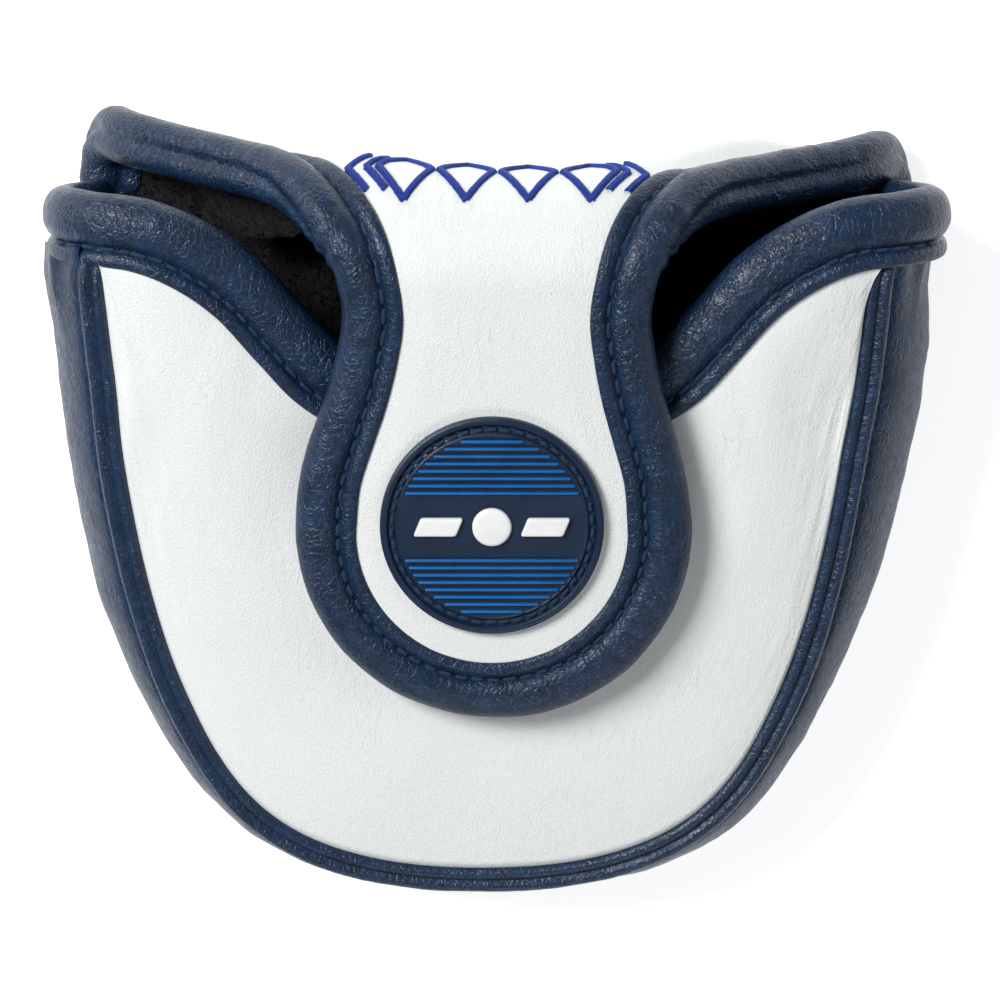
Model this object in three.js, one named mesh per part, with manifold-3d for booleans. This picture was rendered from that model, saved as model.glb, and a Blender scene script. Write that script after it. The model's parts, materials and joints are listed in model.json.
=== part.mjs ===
// Cover for a mallet putter head, lying on its crown side, in millimetres.
// +Z is up, out of the sole-side wall. +Y is the mouth end, where the putter head goes in.
// +X is the toe side. The origin is under the middle of the cover, on the surface that it lies on.
import * as THREE from "three";
import Module from "manifold-3d";
import { mergeVertices } from "three/addons/utils/BufferGeometryUtils.js";

// ---------- Driving dimensions ----------
const BODY_HALF_WIDTH = 65.5; // seam of the sole-side wall, at the mouth
const BODY_REAR_Y = -64; // seam of the sole-side wall, at the rear
const BODY_MOUTH_Y = 46;
const REAR_HEIGHT = 28; // outer face of the sole-side wall above the surface
const MOUTH_HEIGHT = 42.5;
const WALL = 5.5; // leather, foam and lining together
const LEATHER = 1.2;
const GAP = 0.3; // between layers
const LINING = 1.1;
const PUFF = 1.6; // how far the sole-side wall crowns between its edges
const CROWN_SEAM_Z = 4.5;
const POUCH_LEAN = 2.2; // the rear half has settled this far towards the heel side
const WALL_INSET = 2.8; // from the seam to the edge of each wall
const GUSSET_OUT = 0.6; // from the seam to the gusset's edges
const GUSSET_BELLY = { rear: 1.7, mouth: 6.8 }; // how far the gusset bulges beyond its edges
const GUSSET_TOP_GAP = 3.6; // the gusset's leather stops this far under the sole side
const GUSSET_PAD_GAP = 6.4;
const GUSSET_LAYERS = { padding: [1.95, 3.1], lining: [3.6, 4.6] }; // depths from its outer face
const PLEAT = { depth: 4.5, height: 0.26, spread: 0.17 }; // fold near the crown, at the mouth
const PIPING_RADIUS = 1.9;
const PIPING_CORD_RADIUS = 0.9;
const BINDING_SKIN = 1.0;
const BINDING_SLOT = 0.62; // half angle, in radians, of the slot that takes the panel's edge
const MOUTH_ROLL = { wide: 4.5, thick: 3.0 }; // half sizes of the padded binding's section
const FLAP_ROLL = { wide: 3.6, thick: 3.3 };
const WING_ROLL = { wide: 3.8, thick: 4.4 }; // the same binding on the face wall, where it is fuller
const THREAD_RADIUS = 0.3;

// The flap is one bent strip. Its middle surface runs up from the crown side, over the mouth
// and down onto the sole side: crown, lower fold, face wall, upper fold, tongue.
const LOWER_FOLD_Y = 42.3;
const LOWER_FOLD_RADIUS = 7;
const UPPER_FOLD_RADIUS = 12;
const FACE_WALL_TOP_Z = 35.3;
const CORNER_LIFT = 4.8; // how far the wall's corners stand out beyond its middle
const CORNER_LEAN = 0.032; // the toe corner is drawn in and the heel corner let out
const CORNER_X = 56;
const TONGUE_RADIUS = 28.1; // round end, at the middle of its binding
const TONGUE_CENTRE_Y = -3.9;
const TONGUE_LEAN = 0.8; // the round end has settled this far towards the heel side
const CLOSURE_Y = TONGUE_CENTRE_Y + 1.1; // middle of the patch and of the magnets

const PATCH_RADIUS = 18;
const PATCH_THICK = 1.6;
const PATCH_GAP = 0.35; // under the patch
const GROOVE_RADIUS = 16.1; // stitched groove inside the patch's rim
const BARS = 8; // raised bars on each side of the motif
const BAR_START = 5.6; // from the patch's middle to its first bar
const BAR_PITCH = 1.22;
const BAR_HALF = 0.23;
const BAR_FIELD_RADIUS = 15; // the bars end on this circle
const MAGNET_RADIUS = 7;
const MAGNET_THICK = 1.4;

// ---------- Colours ----------
const finish = (color, roughness, metalness = 0) =>
  new THREE.MeshStandardMaterial({ color, roughness, metalness });
const WHITE = finish(0xeef1ee, 0.5);
const NAVY = finish(0x1d2c4c, 0.5);
const FLEECE = finish(0x151517, 1);
const FOAM = finish(0x3a3a3c, 0.9);
const CORD = finish(0xd8d8d4, 0.6);
const THREAD = finish(0x2a3c63, 0.6);
const RUBBER = finish(0x1b2a45, 0.6);
const BLUE = finish(0x1668b8, 0.4);
const WHITE_RUBBER = finish(0xf6f7f7, 0.45);
const MAGNET = finish(0x8f9499, 0.3, 1);

const group = new THREE.Group();
const wasm = await Module();
wasm.setup();

// ---------- Solids ----------
const lerp = THREE.MathUtils.lerp;
const smooth = THREE.MathUtils.smoothstep;
const V = (x, y, z) => new THREE.Vector3(x, y, z);

function add(name, geometry, material) {
  const mesh = new THREE.Mesh(geometry, material);
  mesh.name = name;
  group.add(mesh);
}

// A geometry from points and triangles, with its faces turned outwards.
function closedGeometry(points, triangles) {
  let volume = 0;
  for (const [a, b, c] of triangles) {
    volume += points[a].dot(V(0, 0, 0).crossVectors(points[b], points[c]));
  }
  const index = triangles.flatMap(([a, b, c]) => (volume > 0 ? [a, b, c] : [a, c, b]));
  const geometry = new THREE.BufferGeometry().setFromPoints(points);
  geometry.setIndex(index);
  geometry.computeVertexNormals();
  return geometry;
}

// A closed sheet between two faces, each a grid of (columns + 1) by (rows + 1) points.
function slab(columns, rows, outerAt, innerAt) {
  const points = [];
  for (const at of [outerAt, innerAt]) {
    for (let i = 0; i <= columns; i++) {
      for (let j = 0; j <= rows; j++) points.push(at(i / columns, j / rows));
    }
  }
  const outer = (i, j) => i * (rows + 1) + j;
  const inner = (i, j) => outer(i, j) + (columns + 1) * (rows + 1);
  const triangles = [];
  const quad = (a, b, c, d) => triangles.push([a, b, c], [a, c, d]);
  for (let i = 0; i < columns; i++) {
    for (let j = 0; j < rows; j++) {
      quad(outer(i, j), outer(i + 1, j), outer(i + 1, j + 1), outer(i, j + 1));
      quad(inner(i, j), inner(i, j + 1), inner(i + 1, j + 1), inner(i + 1, j));
    }
    quad(outer(i, 0), inner(i, 0), inner(i + 1, 0), outer(i + 1, 0));
    quad(outer(i, rows), outer(i + 1, rows), inner(i + 1, rows), inner(i, rows));
  }
  for (let j = 0; j < rows; j++) {
    quad(outer(0, j), outer(0, j + 1), inner(0, j + 1), inner(0, j));
    quad(outer(columns, j), inner(columns, j), inner(columns, j + 1), outer(columns, j + 1));
  }
  return closedGeometry(points, triangles);
}

// A section of (along, up) points carried along frames, with its two ends closed.
function sweep(section, frames) {
  const points = frames.flatMap((frame) =>
    section(frame).map(([along, up]) =>
      frame.at.clone().addScaledVector(frame.inward, along).addScaledVector(frame.normal, up)));
  const outline = section(frames[0]).map(([along, up]) => new THREE.Vector2(along, up));
  const n = outline.length;
  const cap = THREE.ShapeUtils.triangulateShape(outline, []);
  const triangles = cap.map(([a, b, c]) => [a, c, b]);
  for (let k = 0; k < frames.length - 1; k++) {
    for (let i = 0; i < n; i++) {
      const a = k * n + i;
      const b = k * n + ((i + 1) % n);
      triangles.push([a, b, b + n], [a, b + n, a + n]);
    }
  }
  const last = (frames.length - 1) * n;
  triangles.push(...cap.map(([a, b, c]) => [a + last, b + last, c + last]));
  return closedGeometry(points, triangles);
}

function ellipse(wide, thick, count) {
  return Array.from({ length: count }, (_, i) => {
    const angle = (i * 2 * Math.PI) / count;
    return [wide * Math.cos(angle), thick * Math.sin(angle)];
  });
}

// The binding strip's section: an oval shell with a slot that faces the panel.
function bindingSection({ wide, thick }, count) {
  const arc = (a, b) =>
    Array.from({ length: count }, (_, i) => {
      const angle = lerp(BINDING_SLOT, 2 * Math.PI - BINDING_SLOT, i / (count - 1));
      return [a * Math.cos(angle), b * Math.sin(angle)];
    });
  return [...arc(wide, thick), ...arc(wide - BINDING_SKIN, thick - BINDING_SKIN).reverse()];
}

function toManifold(geometry) {
  const plain = geometry.clone();
  plain.deleteAttribute("normal");
  plain.deleteAttribute("uv");
  const merged = mergeVertices(plain, 1e-4);
  return new wasm.Manifold(new wasm.Mesh({
    numProp: 3,
    vertProperties: merged.attributes.position.array,
    triVerts: new Uint32Array(merged.index.array),
  }));
}

function fromManifold(solid) {
  const mesh = solid.getMesh();
  const geometry = new THREE.BufferGeometry();
  geometry.setAttribute("position", new THREE.BufferAttribute(mesh.vertProperties, 3));
  geometry.setIndex(new THREE.BufferAttribute(mesh.triVerts, 1));
  geometry.computeVertexNormals();
  return geometry;
}

// ---------- The pouch ----------
const slope = (MOUTH_HEIGHT - REAR_HEIGHT) / (BODY_MOUTH_Y - BODY_REAR_Y);
const slopeAngle = Math.atan(slope);
const frontZ = (y) => REAR_HEIGHT + (y - BODY_REAR_Y) * slope;

// Half of the D-shaped seam, from the rear's middle to the mouth.
const halfSeam = new THREE.CubicBezierCurve(
  new THREE.Vector2(0, BODY_REAR_Y),
  new THREE.Vector2(47, BODY_REAR_Y),
  new THREE.Vector2(59, -38),
  new THREE.Vector2(BODY_HALF_WIDTH, BODY_MOUTH_Y),
);

// The whole seam for u from 0, at the heel end of the mouth, to 1, moved outwards by out.
function seam(u, out = 0) {
  const t = Math.abs(2 * u - 1);
  const side = u < 0.5 ? -1 : 1;
  const p = halfSeam.getPoint(t);
  const d = halfSeam.getTangent(t);
  const lean = POUCH_LEAN * (1 - smooth(p.y, 5, 50));
  return { x: side * (p.x + d.y * out) - lean, y: p.y - d.x * out };
}

// The seam's u where it reaches a height y on the heel side.
function seamAtY(y) {
  let low = 0;
  let high = 1;
  for (let i = 0; i < 30; i++) {
    const t = (low + high) / 2;
    if (halfSeam.getPoint(t).y < y) low = t;
    else high = t;
  }
  return (1 - low) / 2;
}

// The gusset's outer face: u along the seam, z up, and depth into the wall.
// It bellies out on the sole side and folds in a little near the crown at the mouth.
function gusset(u, z, depth) {
  const y = seam(u).y;
  const v = (z - CROWN_SEAM_Z) / (frontZ(y) - CROWN_SEAM_Z);
  const fullness = lerp(GUSSET_BELLY.rear, GUSSET_BELLY.mouth, smooth(y, BODY_REAR_Y, 5));
  const belly = fullness * Math.sin(Math.PI * v);
  const fold = Math.exp(-(((v - PLEAT.height) / PLEAT.spread) ** 2));
  const pleat = PLEAT.depth * smooth(y, 15, BODY_MOUTH_Y) * fold;
  const p = seam(u, GUSSET_OUT + belly - pleat - depth);
  return V(p.x, p.y, z);
}

// The mouth's edge, heel side first: up the gusset, round onto the sole side, and down under the flap.
const mouthHeelHalf = [
  [-64.6, 46.6, 9.5], [-66, 46.8, 14.5], [-69.2, 46.4, 20], [-70.3, 46, 27], [-68.8, 45.8, 33.5],
  [-64.2, 45.4, 38.2], [-57, 44.6, 40.3], [-49.7, 41.8, 40.6], [-41.6, 36.2, 39.7], [-34.3, 28.2, 38.3],
  [-27, 20.8, 37.2], [-14, 14.8, 36.3],
];
const mouthEdge = new THREE.CatmullRomCurve3([
  ...mouthHeelHalf.map((p) => V(...p)),
  V(0, 13, 36),
  ...mouthHeelHalf.map(([x, y, z]) => V(-x, y, z)).reverse(),
], false, "centripetal");

function mouthFrame(t) {
  const at = mouthEdge.getPoint(t);
  const tangent = mouthEdge.getTangent(t);
  const inward = V(0, -1, 0).addScaledVector(tangent, tangent.y).normalize();
  return { at, inward, normal: V(0, 0, 0).crossVectors(inward, tangent).normalize(), t };
}

const spread = (count, from, to) => Array.from({ length: count + 1 }, (_, i) => lerp(from, to, i / count));
const MOUTH_FRONT_T = 5.1 / (2 * mouthHeelHalf.length); // where the edge has come round onto the sole side
const FRONT_END_Y = 37.5; // the wall's outline leaves the seam here and follows the mouth

// A layer of the sole-side wall: offsets from its outer face, and how far it stops short of its edges.
function frontLayer([from, to], short) {
  const start = seamAtY(FRONT_END_Y);
  const at = (offset) => (u, v) => {
    const low = seam(lerp(start, 1 - start, u), -(WALL_INSET + short));
    const edge = mouthFrame(lerp(MOUTH_FRONT_T, 1 - MOUTH_FRONT_T, u));
    const high = edge.at.addScaledVector(edge.inward, MOUTH_ROLL.wide + 0.5 + short);
    const x = lerp(low.x, high.x, v);
    const y = lerp(low.y, high.y, v);
    const crown = PUFF * Math.sin(Math.PI * v) * Math.sqrt(Math.sin(Math.PI * lerp(0.02, 0.98, u)));
    return V(x, y, frontZ(y) + crown + offset - HALF);
  };
  return slab(18, 4, at(to), at(from));
}

// ---------- The flap's middle surface ----------
const FOLD1 = (Math.PI / 2) * LOWER_FOLD_RADIUS; // distance along the strip from the start of the lower fold
const WALL_END = FOLD1 + FACE_WALL_TOP_Z - (WALL / 2 + LOWER_FOLD_RADIUS);
const FOLD2_ANGLE = Math.PI / 2 + slopeAngle;
const FOLD2 = WALL_END + UPPER_FOLD_RADIUS * FOLD2_ANGLE;
const WALL_Y = LOWER_FOLD_Y + LOWER_FOLD_RADIUS;
const UPPER_CENTRE_Y = WALL_Y - UPPER_FOLD_RADIUS;
const FOLD2_Y = UPPER_CENTRE_Y + UPPER_FOLD_RADIUS * Math.cos(FOLD2_ANGLE);
const TONGUE_CENTRE_S = FOLD2 + (FOLD2_Y - TONGUE_CENTRE_Y) / Math.cos(slopeAngle);

// The strip's side view at distance s: height, depth and outward direction.
function profile(s) {
  if (s < 0) return { y: LOWER_FOLD_Y + s, z: WALL / 2, ny: 0, nz: -1 };
  if (s < FOLD1) {
    const a = s / LOWER_FOLD_RADIUS;
    return {
      y: LOWER_FOLD_Y + LOWER_FOLD_RADIUS * Math.sin(a),
      z: WALL / 2 + LOWER_FOLD_RADIUS * (1 - Math.cos(a)),
      ny: Math.sin(a),
      nz: -Math.cos(a),
    };
  }
  if (s < WALL_END) return { y: WALL_Y, z: FACE_WALL_TOP_Z - (WALL_END - s), ny: 1, nz: 0 };
  const a = Math.min((s - WALL_END) / UPPER_FOLD_RADIUS, FOLD2_ANGLE);
  const past = Math.max(s - FOLD2, 0);
  return {
    y: UPPER_CENTRE_Y + UPPER_FOLD_RADIUS * Math.cos(a) - past * Math.cos(slopeAngle),
    z: FACE_WALL_TOP_Z + UPPER_FOLD_RADIUS * Math.sin(a) - past * Math.sin(slopeAngle),
    ny: Math.cos(a),
    nz: Math.sin(a),
  };
}

// A point of the strip: s along it, x across it, and offset outwards from its middle surface.
function flapPoint(s, x, offset = 0) {
  const p = profile(s);
  const share = smooth(s, -14, 2) * (1 - smooth(s, WALL_END - 4, WALL_END + 14));
  const drape = share * (CORNER_LIFT * (x / CORNER_X) ** 2 - CORNER_LEAN * x);
  const sway = TONGUE_LEAN * smooth(s, WALL_END + 20, TONGUE_CENTRE_S);
  return V(x - sway, p.y + p.ny * offset + drape, p.z + p.nz * offset);
}

// Half width of the flap, at the middle of its binding, from the corner to the round end.
const flapHalfWidth = new THREE.SplineCurve([
  [-4, 66], [4, 64.8], [9, 63.2], [13.5, 60.8], [18.2, 56], [24.2, 48], [32.7, 38], [42.2, 29.6],
  [51.2, 23.6], [61, 21.1], [67.5, 21.8], [74, 23.2], [80.6, 25.2], [88, 27.3],
  [TONGUE_CENTRE_S, TONGUE_RADIUS],
].map((p) => new THREE.Vector2(...p)));

function halfWidth(s) {
  if (s >= TONGUE_CENTRE_S) return Math.sqrt(Math.max(TONGUE_RADIUS ** 2 - (s - TONGUE_CENTRE_S) ** 2, 0));
  let low = 0;
  let high = 1;
  for (let i = 0; i < 24; i++) {
    const t = (low + high) / 2;
    if (flapHalfWidth.getPoint(t).x < s) low = t;
    else high = t;
  }
  return flapHalfWidth.getPoint(low).y;
}

// The half width of a layer that stops a given distance short of the edge, measured square to it.
function insetWidth(s, inset) {
  if (s >= TONGUE_CENTRE_S) return Math.sqrt((TONGUE_RADIUS - inset) ** 2 - (s - TONGUE_CENTRE_S) ** 2);
  const step = 0.5;
  const rate = (halfWidth(s + step) - halfWidth(s - step)) / (2 * step);
  return halfWidth(s) - inset * Math.hypot(1, rate);
}

// A frame on the flap's edge for a sweep, from its place, travel direction and outward direction.
function flapFrame(pointAt, q) {
  const step = 0.01;
  const { s, x } = pointAt(q);
  const a = pointAt(q - step);
  const b = pointAt(q + step);
  const tangent = flapPoint(b.s, b.x).sub(flapPoint(a.s, a.x)).normalize();
  const p = profile(s);
  const inward = V(0, 0, 0).crossVectors(V(0, p.ny, p.nz), tangent).normalize();
  return { at: flapPoint(s, x), inward, normal: V(0, 0, 0).crossVectors(tangent, inward).normalize(), q };
}

// Places on one side's edge by s, and on the tongue's U-shaped edge by the distance q along it.
const sideEdge = (side) => (q) => (side < 0 ? { s: q, x: -halfWidth(q) } : { s: -q, x: halfWidth(-q) });
function sideFrames(side, from, to, count) {
  const range = side < 0 ? spread(count, from, to) : spread(count, -to, -from);
  return range.map((q) => flapFrame(sideEdge(side), q));
}

function tongueEdge(from) {
  const straight = TONGUE_CENTRE_S - from;
  const arc = Math.PI * TONGUE_RADIUS;
  const at = (q) => {
    const back = from + 2 * straight + arc - q;
    if (q < straight) return { s: from + q, x: -halfWidth(from + q) };
    if (q > straight + arc) return { s: back, x: halfWidth(back) };
    const angle = (q - straight) / TONGUE_RADIUS;
    return { s: TONGUE_CENTRE_S + TONGUE_RADIUS * Math.sin(angle), x: -TONGUE_RADIUS * Math.cos(angle) };
  };
  return { at, length: 2 * straight + arc };
}

// A layer of the strip between two places along it, with offsets from its middle surface.
function flapLayer(columns, rows, fromS, toS, from, to, widthAt) {
  const at = (offset) => (u, v) => {
    const s = fromS + (toS - fromS) * (toS > TONGUE_CENTRE_S ? Math.sin((u * Math.PI) / 2) : u);
    return flapPoint(s, lerp(-1, 1, v) * widthAt(s), offset);
  };
  return slab(columns, rows, at(to), at(from));
}

// ---------- Layers, shared by every wall: offsets from the wall's middle ----------
const HALF = WALL / 2;
const SKIN = [HALF - LEATHER, HALF];
const PADDING = [-HALF + LINING + GAP, HALF - LEATHER - GAP];
const LINER = [-HALF, -HALF + LINING];

// ---------- Crown side: a flat D that turns up into the face wall ----------
const SPLIT_A = FOLD1 + 2.2; // where the flap starts to swing
const SPLIT_B = WALL_END + (UPPER_FOLD_RADIUS * Math.PI) / 4; // where the tongue starts to lift
const CROWN_END_Y = 36; // the D's outline leaves the seam here
const FOLD_OVERLAP = 8; // the fold's strip starts this far inside the flat D
const FOLD_INSET = 4.2;
const FOLD_HALF_WIDTH = 61.5;

function crownLayer([from, to], short) {
  const start = seamAtY(CROWN_END_Y);
  const outline = spread(24, start, 1 - start).map((u) => seam(u, -(WALL_INSET + short)));
  const shape = new THREE.Shape(outline.map((p) => new THREE.Vector2(p.x, p.y)));
  const flat = new THREE.ExtrudeGeometry(shape, { depth: to - from, bevelEnabled: false });
  flat.translate(0, 0, HALF - to);
  const width = (s) => Math.min(halfWidth(s) - FOLD_INSET, FOLD_HALF_WIDTH - short);
  const fold = flapLayer(8, 6, -FOLD_OVERLAP, SPLIT_A - GAP / 2, from, to, width);
  return fromManifold(toManifold(flat).add(toManifold(fold)));
}

add("crown_panel", crownLayer(SKIN, 0), WHITE);
add("crown_padding", crownLayer(PADDING, 0.8), FOAM);
add("crown_lining", crownLayer(LINER, 0.8), FLEECE);

// ---------- Sole side ----------
const INNER_SHORT = 0.8; // padding and lining stop short of the leather by this much
add("sole_panel", frontLayer(SKIN, 0), WHITE);
add("sole_lining", frontLayer(LINER, INNER_SHORT), FLEECE);

// The magnet in the wall sits in a round hole in the foam, under the flap's magnet.
const tiltedDisc = (radius, thick, y, z) => {
  const disc = new THREE.CylinderGeometry(radius, radius, thick, 24);
  disc.rotateX(Math.PI / 2 + slopeAngle);
  disc.translate(-TONGUE_LEAN, y, z);
  return disc;
};
const MAGNET_HOLE = { radius: MAGNET_RADIUS + 0.5, deep: 12 };
const soleMagnetZ = frontZ(CLOSURE_Y) + PUFF / 2 - HALF;
const solePadding = toManifold(frontLayer(PADDING, INNER_SHORT))
  .subtract(toManifold(tiltedDisc(MAGNET_HOLE.radius, MAGNET_HOLE.deep, CLOSURE_Y, soleMagnetZ)));
add("sole_padding", fromManifold(solePadding), FOAM);
add("sole_magnet", tiltedDisc(MAGNET_RADIUS, MAGNET_THICK, CLOSURE_Y, soleMagnetZ), MAGNET);

// ---------- Gusset round the sides ----------
function gussetLayer(depthFrom, depthTo, lowZ, underFront, endY) {
  const start = seamAtY(endY);
  const at = (depth) => (u, v) => {
    const k = lerp(start, 1 - start, u);
    const high = frontZ(seam(k).y) - underFront;
    return gusset(k, lerp(lowZ, high, v), depth);
  };
  return slab(22, 5, at(depthFrom), at(depthTo));
}
const GUSSET_LOW_Z = CROWN_SEAM_Z + GAP;
const GUSSET_PAD_LOW_Z = 6.2;
add("side_gusset", gussetLayer(0, LEATHER, GUSSET_LOW_Z, GUSSET_TOP_GAP, 41), NAVY);
for (const [name, material] of [["padding", FOAM], ["lining", FLEECE]]) {
  const layer = gussetLayer(...GUSSET_LAYERS[name], GUSSET_PAD_LOW_Z, GUSSET_PAD_GAP, 40.5);
  add(`gusset_${name}`, layer, material);
}

// ---------- Piping along the two seams of the gusset ----------
function pipingFrames(count, zAt, out, endY) {
  const start = seamAtY(endY);
  return spread(count, start, 1 - start).map((u) => {
    const step = 0.002;
    const place = (k) => V(seam(k, out).x, seam(k, out).y, zAt(seam(k, out).y));
    const tangent = place(u + step).sub(place(u - step)).normalize();
    const inward = V(0, 0, 1).cross(tangent).normalize();
    return { at: place(u), inward, normal: V(0, 0, 0).crossVectors(tangent, inward) };
  });
}
const pipes = {
  sole: { zAt: (y) => frontZ(y) - 1.1, out: 0, endY: 38 },
  crown: { zAt: () => PIPING_RADIUS + 0.2, out: GUSSET_OUT, endY: 44 },
};
for (const [side, { zAt, out, endY }] of Object.entries(pipes)) {
  const skin = { wide: PIPING_RADIUS, thick: PIPING_RADIUS };
  const section = bindingSection(skin, 5);
  const cord = ellipse(PIPING_CORD_RADIUS / 2, PIPING_CORD_RADIUS / 2, 4);
  add(`${side}_piping`, sweep(() => section, pipingFrames(26, zAt, out, endY)), NAVY);
  add(`${side}_piping_cord`, sweep(() => cord, pipingFrames(26, zAt, out, endY)), CORD);
}

// ---------- Padded binding of the mouth ----------
// It narrows where it dies into the corners behind the flap.
const mouthTaper = (t) => lerp(0.66, 1, smooth(Math.min(t, 1 - t), 0, 0.16));
const mouthFrames = (count, from, to) => spread(count, from, to).map(mouthFrame);
const scaled = (section, k) => section.map(([a, b]) => [a * k, b * k]);
const mouthSection = bindingSection(MOUTH_ROLL, 6);
const CORE_DEPTH = BINDING_SKIN + 0.6;
const coreOf = ({ wide, thick }) => ellipse(wide - CORE_DEPTH, thick - CORE_DEPTH, 6);
const threadAt = (along, up) => ellipse(THREAD_RADIUS, THREAD_RADIUS, 3).map(([a, b]) => [a + along, b + up]);
const mouthCore = coreOf(MOUTH_ROLL);
const mouthThread = threadAt(3.6, 3.1);
add("mouth_binding", sweep((f) => scaled(mouthSection, mouthTaper(f.t)), mouthFrames(36, 0, 1)), NAVY);
const coreFrames = mouthFrames(36, 0.005, 0.995);
add("mouth_binding_core", sweep((f) => scaled(mouthCore, mouthTaper(f.t)), coreFrames), FOAM);
add("mouth_binding_thread", sweep(() => mouthThread, mouthFrames(30, 0.17, 0.83)), THREAD);

// ---------- Flap, first half: the face wall, from the crown's fold to the upper fold ----------
const EDGE = FLAP_ROLL.wide + 0.4; // the flap's layers stop this far inside the middle of its binding
const bridge = (layer, short) =>
  flapLayer(8, 6, SPLIT_A + GAP / 2, SPLIT_B - GAP / 2, ...layer, (s) => insetWidth(s, EDGE) - short);
add("bridge_panel", bridge(SKIN, 0), WHITE);
add("bridge_padding", bridge(PADDING, GAP), FOAM);
add("bridge_lining", bridge(LINER, GAP), FLEECE);

const wingSection = bindingSection(WING_ROLL, 6);
const wingCore = coreOf(WING_ROLL);
for (const [name, side] of [["heel", -1], ["toe", 1]]) {
  const bridgeEdge = (count, trim) => sideFrames(side, 21 + trim, SPLIT_B - 0.5 - trim, count);
  const cornerEdge = (count, trim) => sideFrames(side, 4 + trim, 12 - trim, count);
  add(`bridge_binding_${name}`, sweep(() => wingSection, bridgeEdge(8, 0)), NAVY);
  add(`bridge_binding_core_${name}`, sweep(() => wingCore, bridgeEdge(8, 0.4)), FOAM);
  add(`corner_binding_${name}`, sweep(() => wingSection, cornerEdge(4, 0)), NAVY);
  add(`corner_binding_core_${name}`, sweep(() => wingCore, cornerEdge(3, 0.4)), FOAM);
}

// Embroidered band over the top of the face wall.
const BAND = { from: 31, to: SPLIT_B - 2.5, inset: 7, thick: 0.5 };
const bandWidth = (s) => halfWidth(s) - BAND.inset;
const band = flapLayer(6, 4, BAND.from, BAND.to, HALF + GAP, HALF + GAP + BAND.thick, bandWidth);
add("embroidery_motif", band, BLUE);

// ---------- Flap, second half: the tongue, from the upper fold to the round end ----------
const tongueTip = (short) => TONGUE_CENTRE_S + Math.sqrt((TONGUE_RADIUS - EDGE - short) ** 2 - 5 ** 2);
const tongue = (layer, short) =>
  flapLayer(16, 4, SPLIT_B + GAP / 2, tongueTip(short), ...layer, (s) => insetWidth(s, EDGE + short));
add("tongue_panel", tongue(SKIN, 0), WHITE);
add("tongue_lining", tongue(LINER, GAP), FLEECE);

const tongueZ = (y, offset) => {
  const p = profile(FOLD2);
  return p.z + (y - p.y) * slope + offset / Math.cos(slopeAngle);
};
const flapMagnetZ = tongueZ(CLOSURE_Y, (PADDING[0] + PADDING[1]) / 2);
const tonguePadding = toManifold(tongue(PADDING, GAP))
  .subtract(toManifold(tiltedDisc(MAGNET_HOLE.radius, MAGNET_HOLE.deep, CLOSURE_Y, flapMagnetZ)));
add("tongue_padding", fromManifold(tonguePadding), FOAM);
add("flap_magnet", tiltedDisc(MAGNET_RADIUS, MAGNET_THICK, CLOSURE_Y, flapMagnetZ), MAGNET);

const rim = tongueEdge(SPLIT_B + 0.5);
const rimFrames = (count, trim) => spread(count, trim, rim.length - trim).map((q) => flapFrame(rim.at, q));
const rimThread = threadAt(3.2, 3.1);
const mixed = (a, b, k) => a.map(([along, up], i) => [lerp(along, b[i][0], k), lerp(up, b[i][1], k)]);
const slim = (frame) => smooth(Math.min(frame.q, rim.length - frame.q), 2, 16);
const rimSection = (frame) => mixed(wingSection, bindingSection(FLAP_ROLL, 6), slim(frame));
const rimCore = (frame) => mixed(wingCore, coreOf(FLAP_ROLL), slim(frame));
add("tongue_binding", sweep(rimSection, rimFrames(32, 0)), NAVY);
add("tongue_binding_core", sweep(rimCore, rimFrames(32, 0.4)), FOAM);
add("tongue_binding_thread", sweep(() => rimThread, rimFrames(30, 14)), THREAD);

// ---------- Round rubber patch ----------
// Built flat about its own axis, then laid on the tongue.
const patch = new THREE.Group();
function addToPatch(name, geometry, material) {
  const mesh = new THREE.Mesh(geometry, material);
  mesh.name = name;
  patch.add(mesh);
}
const lathe = (profilePoints, count) => {
  const geometry = new THREE.LatheGeometry(profilePoints.map((p) => new THREE.Vector2(...p)), count);
  geometry.rotateX(Math.PI / 2);
  return geometry;
};
const base = lathe([
  [0, 0], [PATCH_RADIUS, 0], [PATCH_RADIUS, PATCH_THICK - 0.4], [PATCH_RADIUS - 0.4, PATCH_THICK],
  [GROOVE_RADIUS + 0.7, PATCH_THICK], [GROOVE_RADIUS, PATCH_THICK - 0.6],
  [GROOVE_RADIUS - 0.7, PATCH_THICK - 0.2], [0, PATCH_THICK - 0.2],
], 28);
addToPatch("patch_base", base, RUBBER);

const threadRing = lathe([
  [GROOVE_RADIUS - 0.3, PATCH_THICK], [GROOVE_RADIUS, PATCH_THICK - 0.25], [GROOVE_RADIUS + 0.3, PATCH_THICK],
  [GROOVE_RADIUS, PATCH_THICK + 0.3], [GROOVE_RADIUS - 0.3, PATCH_THICK],
], 28);
addToPatch("patch_thread", threadRing, THREAD);

// Raised bars of blue rubber above and below the motif, on thin backing webs.
for (const [name, side] of [["upper", 1], ["lower", -1]]) {
  let bars = null;
  for (let i = 0; i < BARS; i++) {
    const y = BAR_START + i * BAR_PITCH;
    const half = Math.sqrt(BAR_FIELD_RADIUS ** 2 - y ** 2);
    const bar = new THREE.BoxGeometry(2 * half, 2 * BAR_HALF, 0.8);
    bar.translate(0, side * y, PATCH_THICK + 0.5);
    bars = bars ? bars.add(toManifold(bar)) : toManifold(bar);
  }
  const web = new THREE.BoxGeometry(6, (BARS - 1) * BAR_PITCH, 0.25);
  web.translate(0, side * (BAR_START + ((BARS - 1) * BAR_PITCH) / 2), PATCH_THICK + 0.23);
  addToPatch(`patch_bars_${name}`, fromManifold(bars.add(toManifold(web))), BLUE);
}

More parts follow.
